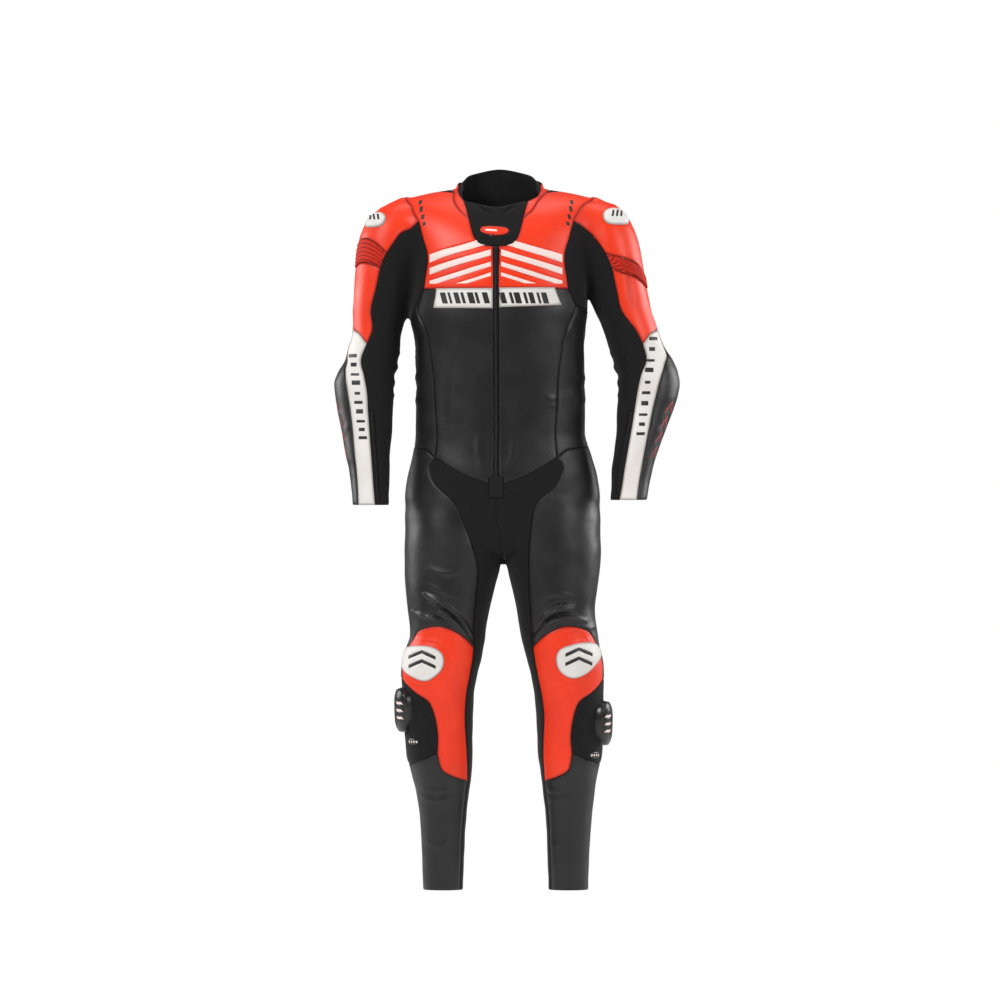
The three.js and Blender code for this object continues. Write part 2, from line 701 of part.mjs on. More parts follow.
// A panel's surface: flat points, their places on the form, normals and triangles
function panelSurface({ side, map, loop, step, lines = [] }) {
  const chart = maps[side][map];
  let path = closedPath(loop);
  const toFlat = (p, near) => {
    const [angle, height] = chart.flatten(p);
    const turns = near === undefined ? 0 : Math.round((near - angle) / (2 * Math.PI));
    return [(angle + turns * 2 * Math.PI) * chart.radius, height];
  };
  const unroll = (points) => {
    const flat = [];
    for (const { p } of points) {
      const last = flat[flat.length - 1];
      flat.push(toFlat(p, last && last[0] / chart.radius));
    }
    return flat;
  };
  let border = unroll(path);
  const area = (ring) =>
    ring.reduce((sum, [x, y], i) => {
      const [bx, by] = ring[(i + 1) % ring.length];
      return sum + x * by - bx * y;
    }, 0);
  if (area(border) < 0) {
    path = [...path].reverse();
    border = unroll(path);
  }
  const count = path.length;
  // the border is moved in by half the seam's gap
  const moved = path.map(({ p, n }, i) => {
    const before = path[(i + count - 1) % count].p;
    const after = path[(i + 1) % count].p;
    const inwardOf = (from, to) => n.clone().cross(to.clone().sub(from)).normalize();
    const a = inwardOf(before, p);
    const b = inwardOf(p, after);
    const sum = a.clone().add(b);
    const reach = seamGap / 2 / Math.max(0.3, a.dot(sum.clone().normalize()));
    return p.clone().addScaledVector(sum.normalize(), reach);
  });
  const flat = [...border];
  const free = (x, y, room) => flat.every(([a, b]) => (a - x) ** 2 + (b - y) ** 2 > room * room);
  const fixed = lines.flatMap((line) => line.map((p) => toFlat(p, border[0][0] / chart.radius)));
  for (const p of fixed) if (inside(p, border) && free(p[0], p[1], 2)) flat.push(p);
  const xs = border.map((p) => p[0]);
  const ys = border.map((p) => p[1]);
  const rowStep = step * 0.87;
  let odd = 0;
  for (let y = Math.min(...ys) + rowStep / 2; y < Math.max(...ys); y += rowStep) {
    odd = step / 2 - odd;
    for (let x = Math.min(...xs) + odd; x < Math.max(...xs); x += step)
      if (inside([x, y], border) && free(x, y, 0.62 * step)) flat.push([x, y]);
  }
  const points = flat.map(([x, y], i) => (i < count ? moved[i] : chart.place(x / chart.radius, y)));
  const normals = flat.map((_, i) => (i < count ? path[i].n : normalAt(points[i])));
  const triangles = triangulate(flat, count);
  return { flat, points, normals, triangles, toFlat, turn: border[0][0] / chart.radius };
}

// A closed wall on a surface: `top` and `bottom` give each point's distance out of it
function wallOn({ points, normals, triangles }, top, bottom) {
  const used = [...new Set(triangles.flat())];
  const index = new Map(used.map((c, i) => [c, i]));
  const place3 = (c, out) => points[c].clone().addScaledVector(normals[c], out);
  const vertices = [...used.map((c) => place3(c, top(c))), ...used.map((c) => place3(c, bottom(c)))];
  const n = used.length;
  const faces = [];
  const edges = new Map();
  for (const corners of triangles) {
    const [a, b, c] = corners.map((k) => index.get(k));
    faces.push([a, b, c], [n + a, n + c, n + b]);
    for (const [i, j] of [[a, b], [b, c], [c, a]]) {
      if (edges.has(j + "," + i)) edges.delete(j + "," + i);
      else edges.set(i + "," + j, [i, j]);
    }
  }
  // both neighbours at a seam turn the wall's diagonal the same way
  const rank = (k) => vertices[k].z + vertices[k].x / 3;
  for (const [i, j] of edges.values()) {
    if (rank(i) > rank(j)) faces.push([j, i, n + j], [i, n + i, n + j]);
    else faces.push([j, i, n + i], [j, n + i, n + j]);
  }
  const geometry = new THREE.BufferGeometry();
  const flatList = faces.flat().flatMap((k) => vertices[k].toArray());
  geometry.setAttribute("position", new THREE.Float32BufferAttribute(flatList, 3));
  geometry.computeVertexNormals();
  return geometry;
}

const suit = new THREE.Group();
const surfaces = {};
const finishes = {
  redLeather: { color: "#f4381c", roughness: 0.45 },
  blackLeather: { color: "#2e2d2c", roughness: 0.45 },
  whiteLeather: { color: "#e6e3e1", roughness: 0.5 },
  stretch: { color: "#1a1818", roughness: 0.95 },
  redStretch: { color: "#e03a22", roughness: 0.9 },
  hardPlastic: { color: "#1c1c1c", roughness: 0.4 },
  zipTape: { color: "#161616", roughness: 0.8 },
  zipMetal: { color: "#2a2a2a", roughness: 0.35, metalness: 0.9 },
};
function add(name, geometry, finish) {
  const mesh = new THREE.Mesh(geometry, new THREE.MeshStandardMaterial(finishes[finish]));
  mesh.name = name;
  suit.add(mesh);
}
const sideNames = (side, names) => names.map((name) => side + "." + name);
function addPanel(name, finish, shape) {
  const lines = (outlines[name] ?? []).map((line) => line.points);
  const ribs = name.startsWith("sleeve_rib") ? ribRows(shape.side) : undefined;
  if (ribs) lines.push(ribs.points);
  const surface = panelSurface({ ...shape, lines });
  surfaces[name] = surface;
  const relief = (c) => (ribs ? ribs.rise(surface.points[c]) : 0);
  add(name, wallOn(surface, relief, () => -wall), finish);
}

// Ribs across the upper sleeve: rows of points between the panel's upper and lower seam, raised in turn
function ribRows(side) {
  const chart = maps[side].arm;
  const edge = (name) => {
    const flat = seams[side + "." + name].map(({ p }) => chart.flatten(p));
    const rows = flat.map(([angle, height]) => [sides[side] * angle, height]);
    return (angle) => {
      const i = Math.max(1, rows.findIndex(([a]) => a >= angle));
      const [[a0, h0], [a1, h1]] = [rows[i - 1], rows[i]];
      return mix(h0, h1, THREE.MathUtils.clamp((angle - a0) / (a1 - a0), 0, 1));
    };
  };
  const [upper, lower] = [edge("ribTop"), edge("ribFoot")];
  const points = [];
  for (let row = 1; row < 2 * ribCount; row++)
    for (let angle = 22; angle <= 162; angle += 14) {
      const at = rad(angle);
      points.push(chart.place(sides[side] * at, mix(upper(at), lower(at), row / (2 * ribCount))));
    }
  const rise = (p) => {
    const [angle, height] = chart.flatten(p);
    const at = sides[side] * angle;
    const down = (height - upper(at)) / (lower(at) - upper(at));
    return ribHeight * Math.abs(Math.sin(Math.PI * ribCount * THREE.MathUtils.clamp(down, 0, 1)));
  };
  return { points, rise };
}

// Pieces that lie on a panel: an outline on the form, and how thick the piece is
const oval = (side, map, angle, height, across, up) => {
  const chart = maps[side][map];
  return Array.from({ length: ovalPoints }, (_, i) => {
    const t = (2 * Math.PI * i) / ovalPoints;
    const [x, y] = [Math.cos(t), Math.sin(t)].map((v) => Math.sign(v) * Math.abs(v) ** 0.85);
    const turned = rad(sides[side] * angle) + (sides[side] * across * x) / chart.radius;
    return chart.place(turned, height + up * y);
  });
};
const ovalPoints = 18;

// An oval seen square on from outside its middle, moved straight onto the form
const facingOval = (middle, across, up) => {
  const out = normalAt(middle);
  const level = new THREE.Vector3(0, 0, 1).cross(out).normalize();
  const rising = out.clone().cross(level);
  const behind = middle.clone().addScaledVector(out, -60);
  return Array.from({ length: ovalPoints }, (_, i) => {
    const t = (2 * Math.PI * i) / ovalPoints;
    const [x, y] = [Math.cos(t), Math.sin(t)].map((v) => Math.sign(v) * Math.abs(v) ** 0.85);
    return leave(behind.clone().addScaledVector(level, across * x).addScaledVector(rising, up * y), out);
  });
};
// A ring through front spots, with a point at the middle of each side that keeps it round
const roundedRing = (side, corners) => {
  const chart = maps[side].leg;
  return corners.flatMap((corner, i) => {
    const around = [-1, 0, 1, 2].map((k) => corners[(i + k + corners.length) % corners.length]);
    const [before, start, end, after] = around.map(([x, z]) => place.front(side, x, z));
    const middle = start.clone().add(end).multiplyScalar(0.5625);
    middle.addScaledVector(before.clone().add(after), -0.0625);
    return [start, chart.place(...chart.flatten(middle))];
  });
};
const laidRows = {
  right: {
    slider: -1029,
    tab: -1092,
    shoulderCup: [244, -50, 29, 19],
    kneeCup: [
      [178, -904], [150, -899], [124, -903], [107, -915], [103, -934],
      [112, -954], [138, -971], [166, -964], [187, -944], [191, -920],
    ],
    band: [[30, -230], [60, -230], [90, -230], [125, -229], [122, -208]],
  },
  left: {
    slider: -1056,
    tab: -1119,
    shoulderCup: [243, -43, 31, 21],
    kneeCup: [
      [119, -928], [126, -908], [148, -898], [176, -893], [200, -897],
      [209, -915], [200, -938], [180, -957], [153, -966], [128, -953],
    ],
    band: [[30, -229], [60, -228], [90, -226], [131, -223], [124, -205]],
  },
};
const outlines = {};
function outline(panel, name, finish, points, dome, extra = []) {
  (outlines[panel] ??= []).push({ name, finish, points, dome, extra });
}
for (const side of Object.keys(sides)) {
  const on = (panel, name, ...rest) => outline(panel + "_" + side, name + "_" + side, ...rest);
  const { slider, tab, shoulderCup, kneeCup, band } = laidRows[side];
  const [bandRing, beyond] = [band, [[118, -178], [-2, -178], [-2, bandFoot]]].map((stops) =>
    stops.map((stop) => place.front(side, ...stop)),
  );
  on("front_body", "chest_band", "whiteLeather", bandRing, { edge: 1.2 }, beyond);
  on("knee", "knee_cup", "whiteLeather", roundedRing(side, kneeCup), { edge: 1.4, crown: 2 });
  const puck = oval(side, "leg", 77, slider, 42, 46);
  on("slider_base", "knee_slider", "hardPlastic", puck, { edge: 10, crown: 9 });
  on("slider_base", "slider_tab", "hardPlastic", oval(side, "leg", 48, tab, 20, 7), { edge: 1.5 });
  const [x, z, ...halves] = shoulderCup;
  const cap = facingOval(place.front(side, x, z), ...halves);
  on("sleeve_cap", "shoulder_cup", "whiteLeather", cap, { edge: 2, crown: 3 });
}
outline("throat", "badge", "redLeather", oval("right", "body", 6, -54, 34, 12), { edge: 1 });

// Panels of each side: map, finish, spacing of the inner points and seams round the edge
const panelRows = {
  chest: [
    "body",
    "redLeather",
    40,
    "zipHigh throatEdge collarBase shoulder armOver armFront chestHemOut chestHem",
  ],
  front_body: [
    "body",
    "blackLeather",
    42,
    "zipBand zipLow zipStep zipSideHigh bellyFront princess armLow chestHemOut chestHem",
  ],
  side_body: [
    "body",
    "blackLeather",
    42,
    "princess bellySide waistBack princessBack armUnderBack armUnder",
  ],
  seat: ["leg", "stretch", 40, "waistBack waistCentre riseRear seatInner seatHem seatFront"],
  thigh: ["leg", "blackLeather", 36, "bellySide seatFront baseTop kneeOut kneeTop crotchLeg"],
  inner_leg: [
    "leg",
    "stretch",
    36,
    "bellyFront crotchLeg kneeInner shinInner hemInner calfInner seatInner riseFront zipFootEdge " +
      "zipSideLow",
  ],
  knee: ["leg", "redLeather", 32, "kneeTop kneeOut kneeLobe kneeFoot kneeInner"],
  slider_base: ["leg", "stretch", 30, "baseTop kneeLobe baseHem baseSide"],
  shin: ["leg", "blackLeather", 32, "baseHem kneeFoot shinInner hemFront calfOut"],
  calf: ["leg", "blackLeather", 32, "seatHem calfInner hemBack calfOut baseSide"],
  collar: ["body", "redLeather", 18, "collarInner collarTop collarSeam collarBaseBack collarBase"],
  sleeve_cap: ["arm", "redLeather", 17, "armOver armBehind capBack ribTop capFront"],
  sleeve_rib: ["arm", "redStretch", 16, "ribTop ribBack ribFoot ribFront"],
  sleeve_upper: ["arm", "redLeather", 24, "ribFoot sleeveBack redHemBack redHem sleeveFront"],
  sleeve_stripe: ["arm", "whiteLeather", 28, "redHem stripeOut cuffFront zipOut stripeIn"],
  elbow: ["arm", "blackLeather", 28, "redHemBack elbowBack cuffOuter stripeOut"],
  wrist_zip: ["arm", "zipTape", 30, "notch zipOut cuffZip zipIn"],
  sleeve_inset: [
    "arm",
    "stretch",
    30,
    "armFront armLow armUnder armUnderBack armLowBack armBack capBack ribBack sleeveBack elbowBack " +
      "cuffInner zipIn notch stripeIn sleeveFront ribFront capFront",
  ],
};
for (const side of Object.keys(sides))
  for (const [name, [map, finish, step, loop]] of Object.entries(panelRows))
    addPanel(name + "_" + side, finish, { side, map, step, loop: sideNames(side, loop.split(" ")) });

// Panels that cross the middle: both sides' seams, with the shared ones between them
const both = (names) => [
  sideNames("right", names.split(" ")),
  sideNames("left", names.split(" ").reverse()),
];
const around = (names, head, foot) => {
  const [right, left] = both(names);
  return [...right, foot, ...left, head].filter(Boolean);
};
const middleRows = {
  throat: ["stretch", 26, around("collarInner throatEdge", "throatTopEdge", "zipHead")],
  front_zip: [
    "zipTape",
    30,
    around("zipHigh zipBand zipLow zipStep zipSideHigh zipSideLow zipFootEdge",
    "zipHead"),
  ],
  back_yoke: [
    "blackLeather",
    42,
    around("collarBaseBack shoulder armBehind armBack", "collarBaseRear", "yokeFoot"),
  ],
  back_body: ["blackLeather", 44, around("armLowBack princessBack waistCentre", "yokeFoot")],
  collar_back: ["blackLeather", 20, around("collarSeam", "collarTopRear", "collarBaseRear")],
};
for (const [name, [finish, step, loop]] of Object.entries(middleRows))
  addPanel(name, finish, { side: "right", map: "body", step, loop });

// An overlay takes the panel's triangles inside its outline and stands on them.
function addLaid(panel, { name, finish, points, dome, extra }) {
  const surface = surfaces[panel];
  const ring = [...points, ...extra].map((p) => surface.toFlat(p, surface.turn));
  const middleOf = (corners) =>
    [0, 1].map((k) => corners.reduce((sum, c) => sum + surface.flat[c][k] / 3, 0));
  const triangles = surface.triangles.filter((corners) => inside(middleOf(corners), ring));
  const centre = [0, 1].map((k) => ring.reduce((sum, p) => sum + p[k] / ring.length, 0));
  const far = Math.max(...ring.map((p) => Math.hypot(p[0] - centre[0], p[1] - centre[1])));
  const rise = (c) => {
    const away = Math.hypot(surface.flat[c][0] - centre[0], surface.flat[c][1] - centre[1]) / far;
    return dome.edge + (dome.crown ?? 0) * Math.max(0, 1 - away ** 3);
  };
  add(name, wallOn({ ...surface, triangles }, (c) => layGap + rise(c), () => layGap), finish);
}
for (const [panel, list] of Object.entries(outlines)) for (const piece of list) addLaid(panel, piece);

// Lining of the collar: a band inside it that stands a little higher
function collarLining() {
  const columns = 40;
  const rows = 2;
  const room = 3; // between the collar and its lining
  const lower = (a) => mix(-8, 10, smooth(a, 54, 88));
  const upper = (a) => mix(4, 27, smooth(a, 50, 104)) + 2 * smooth(a, 130, 180);
  const grid = { points: [], normals: [], triangles: [] };
  for (let i = 0; i <= columns; i++)
    for (let j = 0; j <= rows; j++) {
      const turn = mix(54, 306, i / columns);
      const angle = Math.min(turn, 360 - turn);
      const p = maps.right.body.place(rad(-turn), mix(lower(angle), upper(angle), j / rows));
      grid.points.push(p);
      grid.normals.push(normalAt(p));
      if (i === columns || j === rows) continue;
      const [a, b] = [i * (rows + 1) + j, (i + 1) * (rows + 1) + j];
      grid.triangles.push([a, a + 1, b], [b, a + 1, b + 1]);
    }
  add("collar_lining", wallOn(grid, () => -wall - room, () => -2 * wall - room), "stretch");
}
collarLining();

// The zip's slider and the pull that hangs on its bridge, in a frame with X across, Y up and Z out
const wasm = await Module();
wasm.setup();
function solidOf(geometry) {
  const bare = geometry.clone().deleteAttribute("normal").deleteAttribute("uv");
  const merged = mergeVertices(bare);
  const mesh = { numProp: 3, vertProperties: merged.attributes.position.array };
  return new wasm.Manifold(new wasm.Mesh({ ...mesh, triVerts: new Uint32Array(merged.index.array) }));
}
function joined(geometries) {
  const mesh = geometries.map(solidOf).reduce((a, b) => a.add(b)).getMesh();
  const geometry = new THREE.BufferGeometry();
  geometry.setAttribute("position", new THREE.BufferAttribute(mesh.vertProperties, 3));
  geometry.setIndex([...mesh.triVerts]);
  return geometry.toNonIndexed();
}
const zipSlider = {
  z: -113, // height on the suit
  tilt: rad(15), // the chest leans back here
  lift: 0.6, // off the teeth
  width: 9,
  length: 13,
  thickness: 3,
  bridge: 6.3, // middle of the bridge above the zip
  barRadius: 0.9,
  lugInside: 2.9,
  lugOutside: 4.2,
};
const zipPull = { barrelRadius: 2.2, holeRadius: 1.3, halfWidth: 2.5, thickness: 1.6, length: 27 };
function zipHardware() {
  const s = zipSlider;
  const box = (width, height, depth, x, y, z) =>
    new THREE.BoxGeometry(width, height, depth).translate(x, y, z);
  const bar = new THREE.CylinderGeometry(s.barRadius, s.barRadius, 2 * s.lugOutside - 0.4, 12);
  bar.rotateZ(Math.PI / 2);
  const lug = s.lugOutside - s.lugInside;
  const lugTop = s.bridge + 1.6;
  const plate = s.lift + s.thickness;
  const lugs = [-1, 1].map((side) =>
    box(lug, 5, lugTop - plate + 1, side * (s.lugInside + lug / 2), 0, (lugTop + plate - 1) / 2),
  );
  const body = joined([
    box(s.width, s.length, s.thickness, 0, 0, s.lift + s.thickness / 2),
    ...lugs,
    bar.translate(0, 0, s.bridge),
  ]);
  const half = zipPull.thickness / 2;
  const meet = Math.asin(half / zipPull.barrelRadius);
  const outlineOfPull = new THREE.Shape();
  outlineOfPull.moveTo(-zipPull.length, -half);
  outlineOfPull.absarc(0, 0, zipPull.barrelRadius, meet - Math.PI, Math.PI - meet, false);
  outlineOfPull.lineTo(-zipPull.length, half);
  const hole = Array.from({ length: 14 }, (_, i) => {
    const t = (-2 * Math.PI * i) / 14;
    return new THREE.Vector2(Math.cos(t), Math.sin(t)).multiplyScalar(zipPull.holeRadius);
  });
  outlineOfPull.holes.push(new THREE.Path(hole));
  const settings = { depth: 2 * zipPull.halfWidth, bevelEnabled: false, curveSegments: 10 };
  const pull = new THREE.ExtrudeGeometry(outlineOfPull, settings).translate(0, 0, -zipPull.halfWidth);
  // the profile's X is up, its Y is out and its Z is across
  const axes = [[0, 1, 0], [0, 0, 1], [1, 0, 0]].map((v) => new THREE.Vector3(...v));
  pull.applyMatrix4(new THREE.Matrix4().makeBasis(...axes));
  const frame = new THREE.Group();
  const seat = place.front("right", 0, s.z);
  const up = new THREE.Vector3(0, Math.sin(s.tilt), Math.cos(s.tilt));
  const out = new THREE.Vector3(0, -Math.cos(s.tilt), Math.sin(s.tilt));
  frame.applyMatrix4(new THREE.Matrix4().makeBasis(new THREE.Vector3(1, 0, 0), up, out).setPosition(seat));
  add("zip_slider", body, "zipMetal");
  add("zip_pull", pull.translate(0, 0, s.bridge), "zipMetal");
  frame.add(...suit.children.slice(-2));
  suit.add(frame);
}
zipHardware();

export default suit;
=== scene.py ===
import bpy
import numpy as np
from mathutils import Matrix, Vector
from mathutils.geometry import delaunay_2d_cdt


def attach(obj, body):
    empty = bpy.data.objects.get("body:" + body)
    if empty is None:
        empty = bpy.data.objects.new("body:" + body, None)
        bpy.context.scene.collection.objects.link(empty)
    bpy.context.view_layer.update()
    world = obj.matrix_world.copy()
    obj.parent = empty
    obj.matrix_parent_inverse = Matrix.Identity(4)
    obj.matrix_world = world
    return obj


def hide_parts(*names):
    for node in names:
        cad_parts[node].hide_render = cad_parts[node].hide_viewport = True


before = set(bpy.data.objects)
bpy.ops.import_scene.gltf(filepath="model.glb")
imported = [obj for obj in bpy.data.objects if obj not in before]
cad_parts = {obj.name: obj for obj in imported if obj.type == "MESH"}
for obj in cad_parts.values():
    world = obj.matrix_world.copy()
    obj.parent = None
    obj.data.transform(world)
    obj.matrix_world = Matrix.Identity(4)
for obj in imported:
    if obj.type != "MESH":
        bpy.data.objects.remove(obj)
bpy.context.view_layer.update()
print("stage: frame loaded")

sides = {"right": -1, "left": 1}
seamGap = 0.3  # between two pieces sewn edge to edge
seamStep = 4.5  # spacing of points along a seam
frontCentre = -8  # the trunk is turned, so the zip stands this far to the wearer's right
forkCentre = 8  # the fork and the centre back stand this far to the left
riseMiddle = -640
trunkTurn = -4  # degrees
capHeight = -150  # above it the rays round the trunk tilt up
waist = -480
fork = -720
zipHalf = 5
zipFootHalf = 15
bandLength = 126
bandFoot = -230
hem = -1390
cuff = {"right": -620, "left": -610}
armpit = {"right": -242, "left": -216}
armpitX = {"right": 187, "left": 186}
forearmTurn = {"right": 8, "left": -8}  # degrees

# Sections of the worn form: height, middle x and y, half width, half depth, squareness
trunkRows = [
    [14, 0, 8, 40, 10, 2],
    [9, 0, 6, 106, 22, 2],
    [3, 0, 5, 144, 36, 2],
    [-8, 0, 3, 184, 54, 2.1],
    [-24, 0, 1, 203, 74, 2.2],
    [-50, 0, -1, 200, 93, 2.3],
    [-90, 0, -5, 184, 109, 2.4],
    [-140, 0, -8, 174, 118, 2.5],
    [-200, -2, -8, 174, 121, 2.5],
    [-234, -3, -10, 178, 119, 2.5],
    [-258, -3, -11, 175, 117, 2.5],
    [-282, -1, -12, 171, 114, 2.5],
    [-306, 0, -13, 168, 111, 2.5],
    [-400, 1, -12, 169, 101, 2.5],
    [-474, 1, -9, 169, 102, 2.5],
    [-522, 4, -4, 179, 109, 2.5],
    [-570, 5, 1, 191, 117, 2.4],
    [-605, 5, 3, 195, 117, 2.4],
    [-640, 5, 5, 190, 111, 2.3],
    [-675, 6, 7, 176, 101, 2.2],
    [-700, 6, 8, 160, 92, 2.1],
    [-718, 7, 8, 90, 50, 2],
    [-726, 8, 8, 12, 10, 2],
]
neckRows = [
    [90, 0, 14, 66, 60, 2],
    [60, 0, 13, 68, 60, 2],
    [36, 0, 11, 73, 62, 2],
    [22, 0, 9, 80, 66, 2],
    [6, 0, 7, 84, 69, 2],
    [-10, 0, 4, 84, 72, 2],
    [-40, 0, -4, 76, 74, 2],
    [-90, 0, -14, 50, 60, 2],
]
armRows = {
  "right": [
    [-10, 196, 2, 4, 6, 2],
    [-20, 202, 1, 26, 32, 2],
    [-42, 212, 0, 46, 52, 2],
    [-66, 219, 0, 55, 61, 2],
    [-90, 223, 0, 59, 65, 2],
    [-138, 229, 1, 59, 67, 2],
    [-186, 235, 3, 57, 65, 2],
    [-234, 241, 4, 53, 62, 2],
    [-258, 244, 5, 50, 61, 2],
    [-282, 247, 5, 49, 60, 2],
    [-306, 252, 6, 52, 60, 2],
    [-330, 257, 6, 53, 61, 2],
    [-354, 266, 5, 58, 63, 2.1],
    [-378, 272, 3, 60, 64, 2.1],
    [-402, 271, -2, 59, 62, 2.1],
    [-426, 270, -8, 56, 59, 2],
    [-474, 266, -21, 50, 53, 2],
    [-522, 264, -35, 44, 47, 2],
    [-546, 261, -42, 41, 44, 2],
    [-580, 259, -51, 38, 41, 2],
    [-640, 257, -64, 36, 39, 2],
  ],
  "left": [
    [-10, 196, 2, 4, 6, 2],
    [-20, 202, 1, 28, 32, 2],
    [-42, 208, 0, 46, 52, 2],
    [-66, 214, 0, 53, 61, 2],
    [-90, 219, 0, 57, 65, 2],
    [-138, 227, 1, 59, 67, 2],
    [-186, 236, 3, 58, 65, 2],
    [-234, 248, 4, 56, 62, 2],
    [-258, 257, 5, 55, 61, 2],
    [-282, 265, 5, 55, 60, 2],
    [-306, 274, 6, 56, 60, 2],
    [-330, 286, 6, 60, 61, 2],
    [-354, 294, 5, 62, 63, 2.1],
    [-378, 298, 3, 62, 64, 2.1],
    [-402, 296, -2, 60, 62, 2.1],
    [-426, 291, -8, 57, 59, 2],
    [-474, 281, -21, 49, 53, 2],
    [-522, 269, -35, 43, 47, 2],
    [-546, 264, -42, 41, 44, 2],
    [-580, 260, -50, 38, 41, 2],
    [-640, 254, -64, 36, 39, 2],
  ],
}
legRows = {
  "right": [
    [-560, 70, 3, 50, 50, 2],
    [-600, 84, 4, 82, 92, 2.1],
    [-650, 92, 4, 95, 106, 2.1],
    [-700, 94, 5, 97, 108, 2.1],
    [-738, 95, 4, 96, 104, 2.1],
    [-786, 100, 1, 89, 98, 2.1],
    [-834, 103, -3, 81, 90, 2.1],
    [-882, 105, -7, 75, 81, 2.1],
    [-906, 111, -9, 77, 79, 2.1],
    [-930, 116, -10, 78, 78, 2.1],
    [-954, 121, -9, 77, 76, 2.1],
    [-1000, 123, -4, 71, 73, 2],
    [-1050, 123, 4, 69, 71, 2],
    [-1122, 121, 11, 66, 69, 2],
    [-1146, 118, 12, 62, 66, 2],
    [-1170, 116, 13, 58, 62, 2],
    [-1194, 115, 14, 53, 58, 2],
    [-1250, 114, 16, 46, 51, 2],
    [-1320, 114, 18, 42, 46, 2],
    [-1400, 114, 20, 40, 44, 2],
  ],
  "left": [
    [-560, 76, 3, 50, 50, 2],
    [-600, 92, 4, 84, 92, 2.1],
    [-650, 101, 4, 97, 106, 2.1],
    [-700, 103.5, 5, 98.5, 108, 2.1],
    [-738, 107, 4, 94, 104, 2.1],
    [-786, 109.5, 1, 85.5, 98, 2.1],
    [-834, 112, -3, 78, 90, 2.1],
    [-882, 119, -7, 77, 81, 2.1],
    [-906, 124, -9, 76, 79, 2.1],
    [-930, 130, -10, 76, 78, 2.1],
    [-954, 134, -9, 74, 76, 2.1],
    [-1000, 138, -4, 69, 73, 2],
    [-1050, 140, 4, 67, 71, 2],
    [-1122, 140, 11, 64, 69, 2],
    [-1146, 139, 12, 59, 66, 2],
    [-1170, 138, 13, 55, 62, 2],
    [-1194, 138, 14, 52, 58, 2],
    [-1250, 138, 16, 46, 51, 2],
    [-1320, 137, 18, 42, 46, 2],
    [-1400, 137, 20, 40, 44, 2],
  ],
}
def knotRows(side):
    return {
        "throatFoot": ("front", zipHalf, -106),
        "collarTip": ("front", 54, -50),
        "throatTop": ("front", 64, -14),
        "collarSideTop": ("body", 108, 18),
        "neckSide": ("top", 92, -24),
        "collarFoot": ("body", 112, -3),
        "apexFront": ("front", 155, -54),
        "shoulderTop": ("top", 190, 2),
        "yokeOut": ("top", 184, 34),
        "apexBack": ("back", 150, -70),
        "chestIn": ("front", zipHalf, -190),
        "bandIn": ("front", zipHalf, bandFoot),
        "bandOut": ("front", bandLength, -190),
        "chestOut": ("front", 144, -190),
        "princessTop": ("front", 160, -222),
        "underarm": ("body", 90, armpit[side] - 14),
        "sideBackTop": ("back", 146, -236),
        "yokeFootOut": ("back", 138, -190),
        "bellyIn": ("front", zipFootHalf, -577),
        "zipNarrow": ("front", zipHalf, -560),
        "zipWide": ("front", zipFootHalf, -566),
        "zipFoot": ("front", zipFootHalf, -606),
        "vOut": ("front", 122, -526),
        "seatTop": ("body", 86, -503),
        "sideBackFoot": ("back", 112, -480),
        "riseTop": ("front", 0, -606),
        "riseBack": ("rise", 128),
        "backCentre": ("back", 0, -478),
        "kneeInTop": ("body", -48, -904),
        "kneeOutTop": ("body", 66, -894),
        "kneeOutLow": ("body", 74, -968),
        "backOut": ("body", 118, -962),
        "backIn": ("body", 222, -962),
        "baseFront": ("body", 3, -1116),
        "baseBack": ("body", 118, -1134),
        "kneeTip": ("body", -62, -1172),
        "hemInFront": ("body", -60, hem),
        "hemInBack": ("body", 222, hem),
        "hemOutBack": ("body", 118, hem),
        "ribFrontTop": ("front", 218, -118),
        "ribFrontFoot": ("front", 231, -148),
        "ribBackTop": ("back", 208, -108),
        "ribBackFoot": ("back", 216, -146),
        "redTip": ("arm", 15, -298),
        "stripeTop": ("arm", 84, -268),
        "redBack": ("arm", 182, -292),
        "zipTopOut": ("arm", -15, -432),
        "zipTopIn": ("arm", -27, -432),
        "cuffStripe": ("arm", 33, cuff[side]),
        "cuffZipOut": ("arm", -22, cuff[side]),
        "cuffZipIn": ("arm", -38, cuff[side]),
        "cuffBack": ("arm", 200, cuff[side]),
    }
